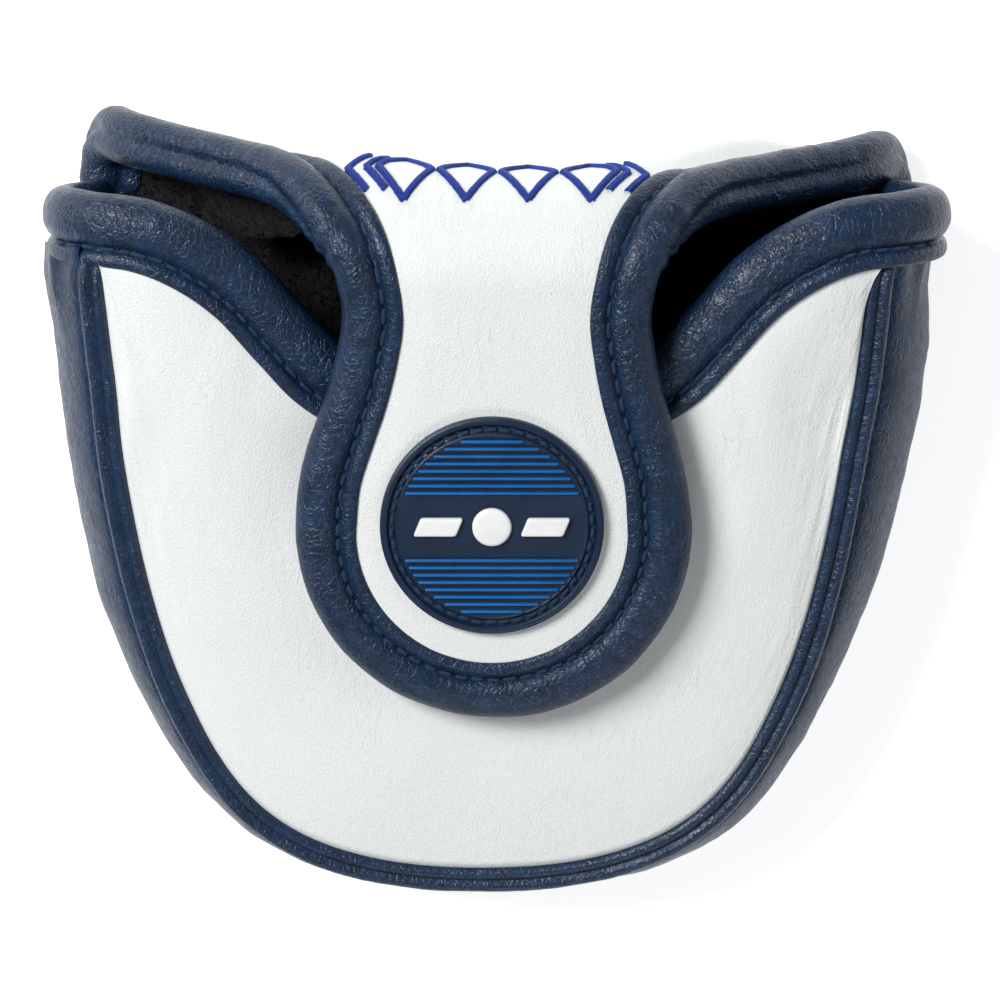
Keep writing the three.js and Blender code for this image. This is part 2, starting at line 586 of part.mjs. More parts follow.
// A plain ball between two slanted bars.
const MOTIF_Z = PATCH_THICK + 0.1;
const ball = new THREE.CylinderGeometry(3.1, 3.3, 0.9, 20);
ball.rotateX(Math.PI / 2);
ball.translate(0, 0, MOTIF_Z + 0.45);
addToPatch("patch_motif_ball", ball, WHITE_RUBBER);
for (const [name, side] of [["heel", -1], ["toe", 1]]) {
  const shape = new THREE.Shape([[4.6, -1.5], [11.4, -1.5], [12.6, 1.5], [5.8, 1.5]]
    .map(([x, y]) => new THREE.Vector2(side * (side < 0 ? 17.2 - x : x), side < 0 ? -y : y)));
  const bar = new THREE.ExtrudeGeometry(shape, { depth: 0.9, bevelEnabled: false });
  bar.translate(0, 0, MOTIF_Z);
  addToPatch(`patch_motif_bar_${name}`, bar, WHITE_RUBBER);
}
patch.rotation.x = slopeAngle;
patch.position.set(-TONGUE_LEAN, CLOSURE_Y, tongueZ(CLOSURE_Y, HALF + PATCH_GAP));
group.add(patch);

// The two folds that the flap moves at. Both axes run along -X, so that positive turns open it.
const OPEN_AXIS = V(0, 58.5, 12.5); // just outside the lower fold, at its corners
const LIFT_RADIUS = 15.5; // just outside the upper fold's bindings
const LIFT_OUT = LIFT_RADIUS * Math.SQRT1_2;
const LIFT_AXIS = V(0, UPPER_CENTRE_Y + LIFT_OUT, FACE_WALL_TOP_Z + LIFT_OUT);

// The origin goes under the middle of the footprint.
group.updateMatrixWorld(true);
const middle = new THREE.Box3().setFromObject(group).getCenter(V(0, 0, 0));
group.children.forEach((child) => {
  child.position.y -= middle.y;
});
group.userData.joint_axes = {
  flap_open: OPEN_AXIS.setY(OPEN_AXIS.y - middle.y).toArray(),
  flap_lift: LIFT_AXIS.setY(LIFT_AXIS.y - middle.y).toArray(),
};

export default group;
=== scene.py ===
import itertools
import json
import math

import bmesh
import bpy
import numpy as np
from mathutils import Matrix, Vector


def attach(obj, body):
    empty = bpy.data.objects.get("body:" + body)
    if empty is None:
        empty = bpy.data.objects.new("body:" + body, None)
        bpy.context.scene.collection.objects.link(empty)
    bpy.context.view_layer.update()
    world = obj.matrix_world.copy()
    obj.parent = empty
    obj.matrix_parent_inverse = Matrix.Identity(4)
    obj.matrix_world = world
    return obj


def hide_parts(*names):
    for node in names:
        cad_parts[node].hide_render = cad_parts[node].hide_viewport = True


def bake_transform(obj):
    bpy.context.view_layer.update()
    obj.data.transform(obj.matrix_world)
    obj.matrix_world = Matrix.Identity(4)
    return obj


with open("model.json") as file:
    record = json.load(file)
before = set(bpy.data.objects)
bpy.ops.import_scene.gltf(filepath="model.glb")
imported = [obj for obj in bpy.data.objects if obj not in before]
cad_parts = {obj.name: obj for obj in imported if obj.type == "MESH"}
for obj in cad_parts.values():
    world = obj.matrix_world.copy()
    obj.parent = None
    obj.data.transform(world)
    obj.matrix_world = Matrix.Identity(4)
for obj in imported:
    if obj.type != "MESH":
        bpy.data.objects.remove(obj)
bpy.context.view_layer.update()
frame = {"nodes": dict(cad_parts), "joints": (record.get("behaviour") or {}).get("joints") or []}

joints = {joint["name"]: joint for joint in frame["joints"]}

# ---------- Driving dimensions, in millimetres ----------
MM = 0.001
OPEN_AXIS_Y = 58.5  # the lower fold's axis, in the part's own place
SHIFT_Y = joints["flap_open"]["pos_m"][1] / MM - OPEN_AXIS_Y

REAR_Y, MOUTH_Y = -64.9, 46.0
REAR_HEIGHT, MOUTH_HEIGHT = 28.0, 42.5  # outer face of the sole-side wall
SEAM_CONTROLS = np.array([(0, REAR_Y), (47.6, REAR_Y), (59.3, -38), (65.5, MOUTH_Y)], float)
POUCH_LEAN = 2.4  # the pouch's rear half has settled this far towards the heel side
LEAN_LOST = 0.5  # of which this much is gone by the tongue's neck
SLOPE = (MOUTH_HEIGHT - REAR_HEIGHT) / (MOUTH_Y - REAR_Y)
SLOPE_ANGLE = math.atan(SLOPE)
CROWN_SEAM_Z = 4.2

WALL = 5.5  # leather, foam and lining together
HALF = WALL / 2
LINING = 1.1
NAP_SIZE = 1.3  # of the fleece's tufts
GAP = 0.3
PAD_BACK = -HALF + LINING + GAP  # back of the leather and foam, from the wall's middle

LOWER_FOLD_Y, LOWER_FOLD_RADIUS = 42.3, 7.0
UPPER_FOLD_RADIUS = 12.0
FACE_WALL_TOP_Z = 35.3
CORNER_LIFT, CORNER_LEAN, CORNER_X = 4.8, 0.032, 56.0
TONGUE_RADIUS = 28.1
TONGUE_CENTRE_Y = -3.9
TONGUE_LEAN = 0.8  # the round end has settled this far towards the heel side
CLOSURE_Y = TONGUE_CENTRE_Y + 1.1  # middle of the patch
EDGE = 4.0  # the flap's panel stops this far inside the middle of its binding
STRIP_TIP = 6.25  # the binding's sewn-down strip ends here

PATCH_THICK, GROOVE_RADIUS = 1.6, 16.1
BARS, BAR_START, BAR_PITCH, BAR_HALF, BAR_FIELD_RADIUS = 8, 5.6, 1.22, 0.24, 15.0

STEP = 0.65  # spacing of the rings along a binding
STITCH_PITCH, STITCH_LENGTH, STITCH_RADIUS = 3.0, 2.4, 0.3

FOLD_A = ((0, 0.0424, 0.002), (0, 0.0544, 0.026))  # where the crown turns up into the face wall
FOLD_B = ((0, 0.0554, 0.030), (0, 0.0324, 0.050))  # where the face wall turns over into the tongue
SPLIT_S = 29.0  # the flap's two pieces meet here, on the flat of the face wall


# ---------- Numbers and curves ----------
def lerp(a, b, k):
    return a + (b - a) * k


def smooth(x, low, high):
    t = np.clip((np.asarray(x, float) - low) / (high - low), 0, 1)
    return t * t * (3 - 2 * t)


def unit(v):
    return v / np.linalg.norm(v, axis=-1, keepdims=True)


def stacked(*parts):
    """Coordinates broadcast together and joined into points."""
    return np.stack(np.broadcast_arrays(*parts), -1)


def circle(count):
    """Evenly spaced angles of a full turn."""
    return np.linspace(0, 2 * math.pi, count, endpoint=False)


def lengths(points):
    return np.concatenate([[0], np.cumsum(np.linalg.norm(np.diff(points, axis=0), axis=1))])


def resample(points, count):
    """The same polyline with its points evenly spaced."""
    run = lengths(points)
    even = np.linspace(0, run[-1], count)
    return np.stack([np.interp(even, run, points[:, i]) for i in range(points.shape[1])], -1)


def spline(points, count):
    """A centripetal Catmull-Rom curve through the points, evenly sampled."""
    p = np.asarray(points, float)
    p = np.vstack([2 * p[0] - p[1], p, 2 * p[-1] - p[-2]])
    gap = np.sqrt(np.linalg.norm(np.diff(p, axis=0), axis=1))
    t = np.linspace(0, 1, 30, endpoint=False)[:, None]
    dense = []
    for k in range(1, len(p) - 2):
        a, b, c, d = p[k - 1:k + 3]
        before, here, after = gap[k - 1:k + 2]
        leave = (b - a) / before - (c - a) / (before + here) + (c - b) / here
        arrive = (c - b) / here - (d - b) / (here + after) + (d - c) / after
        dense.append(b * (2 * t**3 - 3 * t**2 + 1) + leave * here * (t**3 - 2 * t**2 + t)
                     + c * (3 * t**2 - 2 * t**3) + arrive * here * (t**3 - t**2))
    return resample(np.vstack([*dense, p[-2:-1]]), count)


CELL_PRIMES = np.array([374761393, 668265263, 1440662683])  # scatter the values of neighbouring cells
SEED_PRIME, SCATTER_PRIME = 982451653, 1274126177


def value_noise(p, seed=0):
    """Smooth noise from -1 to 1 at points p, with features about one unit across."""
    cell = np.floor(p).astype(np.int64)
    f = p - cell
    f = f * f * f * (f * (f * 6 - 15) + 10)
    total = np.zeros(p.shape[:-1])
    for corner in itertools.product((0, 1), repeat=3):
        n = ((cell + np.array(corner)) * CELL_PRIMES).sum(-1) + seed * SEED_PRIME
        n = (n ^ (n >> 13)) * SCATTER_PRIME & 0xFFFFFFFF
        n = (n ^ (n >> 16)) & 0xFFFF
        weight = np.prod(np.where(np.array(corner), f, 1 - f), axis=-1)
        total += weight * (n / 32767.5 - 1)
    return total


def rough_noise(p, octaves=3, seed=0):
    return sum(value_noise(p * 2**k, seed + k) / 2**k for k in range(octaves))


def distance_to(xy, outline):
    """Distance from each point to the nearest point of an outline."""
    flat = xy.reshape(-1, 2)
    nearest = np.empty(len(flat))
    for k in range(0, len(flat), 4096):
        block = flat[k:k + 4096, None] - outline[None]
        nearest[k:k + 4096] = np.sqrt((block**2).sum(-1).min(1))
    return nearest.reshape(xy.shape[:-1])


# ---------- Meshes ----------
class Shape:
    """Points and faces of one piece, gathered part by part, in millimetres."""

    def __init__(self):
        self.points, self.quads, self.triangles, self.count = [], [], [], 0

    def add(self, points, quads=(), triangles=()):
        self.points.append(np.asarray(points, float).reshape(-1, 3))
        self.quads.append(np.asarray(quads, np.int64).reshape(-1, 4) + self.count)
        self.triangles.append(np.asarray(triangles, np.int64).reshape(-1, 3) + self.count)
        self.count += len(self.points[-1])
        return self

    def slab(self, outer, inner):
        """A closed sheet between two grids of points."""
        rows, columns = outer.shape[:2]
        index = np.arange(rows * columns).reshape(rows, columns)
        top = quads_of(index)
        bottom = quads_of(index)[:, ::-1] + rows * columns
        ring = np.concatenate([index[0], index[1:, -1], index[-1, -2::-1], index[-2:0:-1, 0]])
        ahead = np.roll(ring, -1)
        rim = np.stack([ring, ahead, ahead + rows * columns, ring + rows * columns], -1)[:, ::-1]
        return self.add(np.concatenate([outer.reshape(-1, 3), inner.reshape(-1, 3)]),
                        np.concatenate([top, bottom, rim]))

    def tube(self, rings):
        """A closed skin over rings of points, with a fan at each end."""
        count, around = rings.shape[:2]
        index = np.arange(count * around).reshape(count, around)
        index = np.concatenate([index, index[:, :1]], 1)
        points = np.vstack([rings.reshape(-1, 3), rings[0].mean(0), rings[-1].mean(0)])
        first, last = len(points) - 2, len(points) - 1
        caps = [(first, b, a) for a, b in zip(index[0], index[0][1:])]
        caps += [(last, a, b) for a, b in zip(index[-1], index[-1][1:])]
        return self.add(points, quads_of(index), caps)


def quads_of(index):
    return np.stack([index[:-1, :-1], index[:-1, 1:], index[1:, 1:], index[1:, :-1]], -1).reshape(-1, 4)


def piece(name, shape, material, sharp_angle=50):
    """An object of that shape, in the frame. Its rest attribute keeps each point's place in millimetres."""
    points = np.vstack(shape.points)
    quads, triangles = np.vstack(shape.quads), np.vstack(shape.triangles)
    mesh = bpy.data.meshes.new(name)
    mesh.vertices.add(len(points))
    placed = (points + (0, SHIFT_Y, 0)) * MM
    mesh.vertices.foreach_set("co", placed.astype(np.float32).ravel())
    corners = np.concatenate([quads.ravel(), triangles.ravel()])
    starts = np.concatenate([np.arange(len(quads)) * 4, len(quads) * 4 + np.arange(len(triangles)) * 3])
    mesh.loops.add(len(corners))
    mesh.loops.foreach_set("vertex_index", corners.astype(np.int32))
    mesh.polygons.add(len(starts))
    mesh.polygons.foreach_set("loop_start", starts.astype(np.int32))
    mesh.update(calc_edges=True)
    mesh.attributes.new("rest", "FLOAT_VECTOR", "POINT").data.foreach_set(
        "vector", points.astype(np.float32).ravel())
    editable = bmesh.new()
    editable.from_mesh(mesh)
    bmesh.ops.recalc_face_normals(editable, faces=editable.faces)
    editable.to_mesh(mesh)
    editable.free()
    mesh.shade_smooth()
    mesh.set_sharp_from_angle(angle=math.radians(sharp_angle))
    mesh.materials.append(material)
    made = bpy.data.objects.new(name, mesh)
    bpy.context.scene.collection.objects.link(made)
    return made


# ---------- Materials ----------
class Nodes:
    """A short way to write a node material around one Principled shader."""

    def __init__(self, name, **inputs):
        self.material = bpy.data.materials.new(name)
        self.material.use_nodes = True
        self.tree = self.material.node_tree
        self.shader = self.tree.nodes["Principled BSDF"]
        self.set(self.shader, inputs)
        self.rest = self.add("ShaderNodeAttribute", attribute_name="rest").outputs["Vector"]

    def set(self, node, inputs):
        for key, value in inputs.items():
            socket = node.inputs[key]
            if isinstance(value, bpy.types.NodeSocket):
                self.tree.links.new(value, socket)
            else:
                socket.default_value = value

    def add(self, kind, inputs=None, **settings):
        node = self.tree.nodes.new(kind)
        for key, value in settings.items():
            setattr(node, key, value)
        self.set(node, inputs or {})
        return node

    def stretched(self, source, scale):
        return self.add("ShaderNodeMapping", {"Vector": source, "Scale": scale}).outputs["Vector"]

    def noise(self, source, scale, detail=3, roughness=0.55, distortion=0.0):
        return self.add("ShaderNodeTexNoise", {
            "Vector": source, "Scale": scale, "Detail": detail, "Roughness": roughness,
            "Distortion": distortion}).outputs["Fac"]

    def cells(self, source, scale):
        """The distance to the nearest edge in a pattern of cells."""
        return self.add("ShaderNodeTexVoronoi", {"Vector": source, "Scale": scale},
                        feature="DISTANCE_TO_EDGE").outputs["Distance"]

    def warped(self, source, scale, amount):
        """The coordinates pushed about by noise."""
        push = self.add("ShaderNodeTexNoise", {"Vector": source, "Scale": scale, "Detail": 2})
        middle = self.add("ShaderNodeVectorMath", {0: push.outputs["Color"], 1: (0.5, 0.5, 0.5)},
                          operation="SUBTRACT").outputs[0]
        scaled = self.add("ShaderNodeVectorMath", {0: middle, "Scale": amount}, operation="SCALE")
        return self.add("ShaderNodeVectorMath", {0: source, 1: scaled.outputs[0]}, operation="ADD").outputs[0]

    def ramp(self, source, low, high, to_low=0.0, to_high=1.0):
        return self.add("ShaderNodeMapRange", {
            "Value": source, "From Min": low, "From Max": high, "To Min": to_low, "To Max": to_high},
            interpolation_type="SMOOTHSTEP").outputs["Result"]

    def math(self, operation, a, b):
        return self.add("ShaderNodeMath", {0: a, 1: b}, operation=operation).outputs[0]

    def add_up(self, a, b):
        return self.math("ADD", a, b)

    def times(self, a, b):
        return self.math("MULTIPLY", a, b)

    def mix(self, factor, a, b):
        """Two colours mixed; 6 and 7 are the node's colour inputs, and 2 its colour output."""
        a, b = ((*value, 1) if isinstance(value, tuple) else value for value in (a, b))
        return self.add("ShaderNodeMix", {"Factor": factor, 6: a, 7: b}, data_type="RGBA").outputs[2]

    def finish(self, colour, roughness, height, depth):
        """The finished material. depth is how far its relief rises, in millimetres."""
        normal = self.add("ShaderNodeBump", {"Height": height, "Distance": depth * MM}).outputs["Normal"]
        self.set(self.shader, {"Base Color": colour, "Roughness": roughness, "Normal": normal})
        return self.material


NAVY_LIGHT = (0.0060, 0.0250, 0.066)


def navy_leather(name, deep, crackle, specular):
    """Crackled leather. crackle is the depth of its creases, and thin paler lines painted along their edges
    stand in for glints of light.
    """
    n = Nodes(name, **{"Specular IOR Level": specular})
    bent = n.warped(n.rest, 0.3, 1.1)
    long_edge = n.cells(n.stretched(bent, (0.95, 0.5, 0.7)), 1.0)
    wide_edge = n.cells(n.stretched(bent, (0.6, 1.15, 0.95)), 1.0)
    patchy = n.ramp(n.noise(n.rest, 0.14, 2), 0.4, 0.6, 0.35, 1.0)
    wrinkle = n.ramp(n.noise(bent, 0.7, 3, 0.55, 0.5), 0.36, 0.64)
    height = n.add_up(n.ramp(long_edge, 0.0, 0.13), n.times(n.ramp(wide_edge, 0.0, 0.16), 0.7))
    height = n.add_up(n.times(height, patchy), n.times(wrinkle, 0.5))
    cloud = n.ramp(n.noise(n.rest, 0.22, 3), 0.35, 0.65)
    # Painted highlight: paler colour along the crease edges, standing in for glints of light on the ridges.
    painted_glint = n.times(n.ramp(long_edge, 0.015, 0.09, 1.0, 0.0), n.ramp(n.noise(n.rest, 0.5, 3), 0.45, 0.62))
    colour = n.mix(n.times(painted_glint, 0.4), n.mix(cloud, deep, NAVY_LIGHT),
                   tuple(2.4 * part + 0.008 for part in NAVY_LIGHT))
    return n.finish(colour, n.ramp(wrinkle, 0.0, 1.0, 0.44, 0.36), height, crackle)


def white_leather():
    n = Nodes("white_leather", **{"Specular IOR Level": 0.45})
    bent = n.warped(n.rest, 1.2, 0.8)
    grain = n.ramp(n.cells(bent, 1.5), 0.0, 0.28)
    fine = n.noise(n.rest, 2.6, 5, 0.62, 0.4)
    creases = n.ramp(n.noise(n.stretched(n.rest, (0.5, 0.22, 0.35)), 1.0, 5, 0.6, 1.1), 0.47, 0.53)
    tint = n.ramp(n.noise(n.rest, 0.035, 2), 0.3, 0.7)
    soft = n.noise(n.rest, 0.06, 2)
    height = n.add_up(n.times(grain, 0.35), n.times(fine, 0.8))
    height = n.add_up(height, n.times(creases, n.ramp(soft, 0.42, 0.7, 0.05, 0.4)))
    colour = n.mix(tint, (0.800, 0.832, 0.822), (0.835, 0.862, 0.850))
    colour = n.mix(n.ramp(fine, 0.3, 0.5, 0.5, 0.0), colour, (0.74, 0.775, 0.77))
    return n.finish(colour, n.ramp(fine, 0.3, 0.7, 0.4, 0.52), height, 0.085)


def fleece():
    n = Nodes("fleece", **{"Specular IOR Level": 0.1, "Sheen Weight": 0.25, "Sheen Roughness": 0.4})
    n.shader.inputs["Sheen Tint"].default_value = (0.35, 0.33, 0.36, 1)
    tufts = n.ramp(n.noise(n.warped(n.rest, 0.7, 1.2), 1.3, 5, 0.7, 0.6), 0.4, 0.62)
    clumps = n.noise(n.rest, 0.3, 3)
    colour = n.mix(n.times(tufts, clumps), (0.001, 0.001, 0.0012), (0.062, 0.056, 0.059))
    return n.finish(colour, n.ramp(clumps, 0, 1, 0.9, 1.0), n.add_up(tufts, clumps), 0.8)


def thread(name, dark, light):
    n = Nodes(name, **{"Specular IOR Level": 0.35})
    # The twist shows in the bump and in two colours. The paler colour is painted highlight on the strands'
    # crowns.
    twist_and_glint = n.add("ShaderNodeTexWave", {"Vector": n.rest, "Scale": 2.4, "Distortion": 2.0, "Detail": 2},
                  bands_direction="DIAGONAL").outputs["Fac"]
    return n.finish(n.mix(twist_and_glint, dark, light), n.ramp(twist_and_glint, 0, 1, 0.45, 0.65), twist_and_glint, 0.08)


def rubber(name, dark, light, base_roughness, speckle=0.03):
    n = Nodes(name, **{"Specular IOR Level": 0.45})
    grain = n.noise(n.rest, 7.0, 3)
    cloud = n.noise(n.rest, 0.25, 2)
    colour = n.mix(n.ramp(cloud, 0.3, 0.7), dark, light)
    roughness = n.ramp(grain, 0.3, 0.7, base_roughness - 0.06, base_roughness + 0.06)
    return n.finish(colour, roughness, grain, speckle)


def metal():
    n = Nodes("nickel", Metallic=1.0)
    brushed = n.noise(n.stretched(n.rest, (0.2, 6, 1)), 2.0, 4)
    colour = n.mix(brushed, (0.48, 0.48, 0.5), (0.66, 0.66, 0.68))
    return n.finish(colour, n.ramp(brushed, 0.2, 0.8, 0.22, 0.42), brushed, 0.01)


WHITE = white_leather()
NAVY = navy_leather("navy_leather", (0.0040, 0.0165, 0.045), 0.085, 0.45)
NAVY_GUSSET = navy_leather("navy_gusset", (0.0040, 0.0170, 0.046), 0.055, 0.22)
NAVY_PIPING = navy_leather("navy_piping", (0.0040, 0.0170, 0.046), 0.055, 0.5)
FLEECE_CLOTH = fleece()
NAVY_THREAD = thread("navy_thread", (0.006, 0.018, 0.048), (0.036, 0.075, 0.15))
BLUE_THREAD = thread("blue_thread", (0.008, 0.032, 0.26), (0.020, 0.072, 0.46))
PATCH_RUBBER = rubber("patch_rubber", (0.003, 0.0145, 0.042), (0.0045, 0.019, 0.052), 0.42)
BLUE_RUBBER = rubber("blue_rubber", (0.001, 0.105, 0.34), (0.002, 0.125, 0.40), 0.4)
WHITE_RUBBER = rubber("white_rubber", (0.84, 0.85, 0.85), (0.9, 0.905, 0.905), 0.4, 0.015)
NICKEL = metal()


# ---------- The pouch's seam ----------
def front_z(y):
    return REAR_HEIGHT + (y - REAR_Y) * SLOPE


def half_seam(t):
    """Points and directions of half the D-shaped seam, from the rear's middle to the mouth."""
    t = np.asarray(t, float)[..., None]
    a = 1 - t
    c = SEAM_CONTROLS
    point = a**3 * c[0] + 3 * a * a * t * c[1] + 3 * a * t * t * c[2] + t**3 * c[3]
    direction = a * a * (c[1] - c[0]) + 2 * a * t * (c[2] - c[1]) + t * t * (c[3] - c[2])
    return point, unit(direction)


def seam(u, out=0.0):
    """The whole seam, u from 0 at the heel end of the mouth to 1, moved outwards by out."""
    point, direction = half_seam(np.abs(2 * u - 1))
    side = np.where(u < 0.5, -1, 1)
    x = side * (point[..., 0] + direction[..., 1] * out) - pouch_lean(point[..., 1])
    return np.stack([x, point[..., 1] - direction[..., 0] * out], -1)


def pouch_lean(y):
    return (POUCH_LEAN - LEAN_LOST * smooth(y, 5, 20)) * (1 - smooth(y, 33, 52))


SEAM_T = np.linspace(0, 1, 2001)
SEAM_T_Y = half_seam(SEAM_T)[0][:, 1]


def even_seam(end_y, count):
    """Values of u evenly spaced along the seam, between the two places where it reaches end_y."""
    start = (1 - np.interp(end_y, SEAM_T_Y, SEAM_T)) / 2
    u = np.linspace(start, 1 - start, 3000)
    run = lengths(seam(u))
    return np.interp(np.linspace(0, run[-1], count), run, u)


def on_seam(u, out, z):
    x, y = np.moveaxis(seam(u, out), -1, 0)
    return stacked(x, y, z)


def welt_shift(y):
    """How far inside the seam line the piping's middle runs."""
    return lerp(0.0, -1.2, smooth(y, -60, -38))


def welt_dive(y):
    """The piping sinks as it goes under the mouth's binding."""
    return -1.0 * smooth(y, 34, 41)


# ---------- The mouth's edge ----------
MOUTH_HEEL_HALF = [
    (-64.6, 46.6, 9.5), (-66, 46.8, 14.5), (-69.2, 46.4, 20), (-70.3, 46, 27), (-68.8, 45.8, 33.5),
    (-64.2, 45.4, 38.2), (-57, 44.6, 40.3), (-49.7, 41.8, 40.6), (-41.6, 36.2, 39.7), (-34.3, 28.2, 38.3),
    (-27, 20.8, 37.2), (-14, 14.8, 36.3)]
MOUTH_POINTS = [*MOUTH_HEEL_HALF, (0, 13, 36), *[(-x, y, z) for x, y, z in reversed(MOUTH_HEEL_HALF)]]


def frames_along(points, inward_hint=None, normals=None):
    """Tangent frames along a polyline: each has a point, a direction into the panel and one out of it."""
    tangent = unit(np.gradient(points, axis=0))
    if normals is None:
        inward = unit(inward_hint - tangent * (tangent @ inward_hint)[:, None])
        return points, inward, unit(np.cross(inward, tangent))
    inward = unit(np.cross(normals, tangent))
    return points, inward, unit(np.cross(tangent, inward))


MOUTH_CURVE = spline(MOUTH_POINTS, 3001)
MOUTH_RUN = lengths(MOUTH_CURVE)
MOUTH_LENGTH = MOUTH_RUN[-1]
MOUTH_FRAMES = frames_along(MOUTH_CURVE, np.array([0, -1.0, 0]))
CORNER_POINT = np.array(MOUTH_HEEL_HALF[5])
MOUTH_CORNER_RUN = MOUTH_RUN[np.argmin(np.linalg.norm(MOUTH_CURVE - CORNER_POINT, axis=1))]


def frames_at(places, run, frames):
    """The frames at other places along the same line."""
    return tuple(np.stack([np.interp(places, run, part[:, i]) for i in range(3)], -1) for part in frames)


# ---------- The flap's middle surface ----------
FOLD1 = math.pi / 2 * LOWER_FOLD_RADIUS
WALL_END = FOLD1 + FACE_WALL_TOP_Z - (HALF + LOWER_FOLD_RADIUS)
FOLD2_ANGLE = math.pi / 2 + SLOPE_ANGLE
FOLD2 = WALL_END + UPPER_FOLD_RADIUS * FOLD2_ANGLE


def profile(s):
    """The strip's side view at distance s along it: y and z."""
    s = np.asarray(s, float)
    a = np.clip(s / LOWER_FOLD_RADIUS, 0, math.pi / 2)
    b = np.clip((s - WALL_END) / UPPER_FOLD_RADIUS, 0, FOLD2_ANGLE)
    before = np.minimum(s, 0)
    climb = np.clip(s - FOLD1, 0, WALL_END - FOLD1)
    past = np.maximum(s - FOLD2, 0)
    y = (LOWER_FOLD_Y + before + LOWER_FOLD_RADIUS * np.sin(a) - UPPER_FOLD_RADIUS * (1 - np.cos(b))
         - past * math.cos(SLOPE_ANGLE))
    z = (HALF + LOWER_FOLD_RADIUS * (1 - np.cos(a)) + climb + UPPER_FOLD_RADIUS * np.sin(b)
         - past * math.sin(SLOPE_ANGLE))
    return y, z


FOLD2_Y, FOLD2_Z = (float(v) for v in profile(FOLD2))
TONGUE_CENTRE_S = FOLD2 + (FOLD2_Y - TONGUE_CENTRE_Y) / math.cos(SLOPE_ANGLE)


def flap_middle(s, x):
    y, z = profile(s)
    share = smooth(s, -14, 2) * (1 - smooth(s, WALL_END - 4, WALL_END + 14))
    drape = share * (CORNER_LIFT * (x / CORNER_X) ** 2 - CORNER_LEAN * x)
    sway = TONGUE_LEAN * smooth(s, WALL_END + 20, TONGUE_CENTRE_S) + pouch_lean(y) * (1 - smooth(s, -14, 2))
    return stacked(x - sway, y + drape, z)


def flap_normal(s, x):
    step = 0.05
    along = flap_middle(s + step, x) - flap_middle(s - step, x)
    across = flap_middle(s, x + step) - flap_middle(s, x - step)
    return unit(np.cross(along, across))


def flap_point(s, x, offset):
    s, x = np.broadcast_arrays(np.asarray(s, float), x)
    return flap_middle(s, x) + flap_normal(s, x) * np.asarray(offset)[..., None]


# Half width of the flap, at the middle of its binding, from the corner to the round end.
FLAP_HALF_WIDTH = spline([
    (-4, 66), (4, 64.8), (9, 63.2), (13.5, 60.8), (18.2, 56), (24.2, 48), (32.7, 38), (42.2, 29.6),
    (51.2, 23.6), (61, 21.1), (67.5, 21.8), (74, 23.2), (80.6, 25.2), (88, 27.3),
    (TONGUE_CENTRE_S, TONGUE_RADIUS)], 1200)


def half_width(s):
    straight = np.interp(s, FLAP_HALF_WIDTH[:, 0], FLAP_HALF_WIDTH[:, 1])
    round_end = np.sqrt(np.maximum(TONGUE_RADIUS**2 - (s - TONGUE_CENTRE_S) ** 2, 0))
    return np.where(s > TONGUE_CENTRE_S, round_end, straight)


def inset_width(s, inset):
    """The half width of a layer that stops a given distance short of the edge, measured square to it."""
    step = 0.5
    rate = (half_width(s + step) - half_width(s - step)) / (2 * step)
    round_end = np.sqrt(np.maximum((TONGUE_RADIUS - inset) ** 2 - (s - TONGUE_CENTRE_S) ** 2, 0))
    return np.where(s >= TONGUE_CENTRE_S, round_end, half_width(s) - inset * np.hypot(1, rate))


# ---------- Sections of the padded bindings: (inwards, upwards) from their middle ----------
MOUTH_OUTLINE = [
    (7.05, 2.55), (6.85, 2.95), (6.3, 3.18), (5.6, 3.22), (4.9, 2.95), (4.4, 2.4), (4.05, 1.95), (3.7, 2.35),
    (3.0, 3.1), (1.5, 3.8),
    (0, 3.9), (-2, 3.6), (-3.8, 2.5), (-4.6, 1.0), (-4.7, -0.1), (-4.3, -1.5), (-3, -2.7), (-1, -3.2),
    (1.5, -3.15), (3.5, -2.95), (5.5, -2.9), (6.5, -2.8), (6.6, -2.6)]
TONGUE_OUTLINE = [
    (6.25, 2.9), (6.1, 3.2), (5.5, 3.42), (4.8, 3.42), (4.1, 3.1), (3.55, 2.5), (3.25, 2.05), (2.9, 2.45),
    (2.2, 3.1), (1.0, 3.5),
    (-0.4, 3.4), (-1.7, 3.0), (-2.8, 2.2), (-3.4, 1.2), (-3.6, 0), (-3.4, -1.2), (-2.8, -2.1), (-1.7, -2.9),
    (-0.4, -3.35), (1.0, -3.45), (2.2, -3.25), (3.2, -3.1), (4.2, -3.12), (5.5, -3.15), (6.05, -3.1),
    (6.25, -2.95)]
WING_OUTLINE = [
    (6.25, 2.9), (6.1, 3.2), (5.5, 3.45), (4.8, 3.45), (4.1, 3.2), (3.55, 2.7), (3.25, 2.4), (2.9, 2.9),
    (2.2, 3.7), (1.0, 4.35),
    (-0.7, 4.5), (-2.3, 4.1), (-3.5, 3.0), (-3.9, 1.5), (-3.35, 0), (-3.9, -1.5), (-3.5, -3.0), (-2.3, -4.1),
    (-0.7, -4.5), (1.0, -4.35), (2.2, -3.8), (3.2, -3.2), (4.2, -3.15), (5.5, -3.15), (6.05, -3.1),
    (6.25, -2.95)]
AROUND = 72  # points round the outline; those after them belong to the slot
SLOT_BEVEL = 0.4
SLOT_PLAY = 0.02  # the slot is this much wider than the panel on each side


def binding_section(outline, face, back, floor):
    """A closed section: the outline, then the slot that takes the panel's edge."""
    tip, low_tip = outline[0][0] - 0.1, outline[-1][0] - 0.1
    slot = [(low_tip, back), (floor + SLOT_BEVEL, back), (floor, back + SLOT_BEVEL),
            (floor, face - SLOT_BEVEL), (floor + SLOT_BEVEL, face), (tip, face)]
    return np.vstack([spline(outline, AROUND), slot])


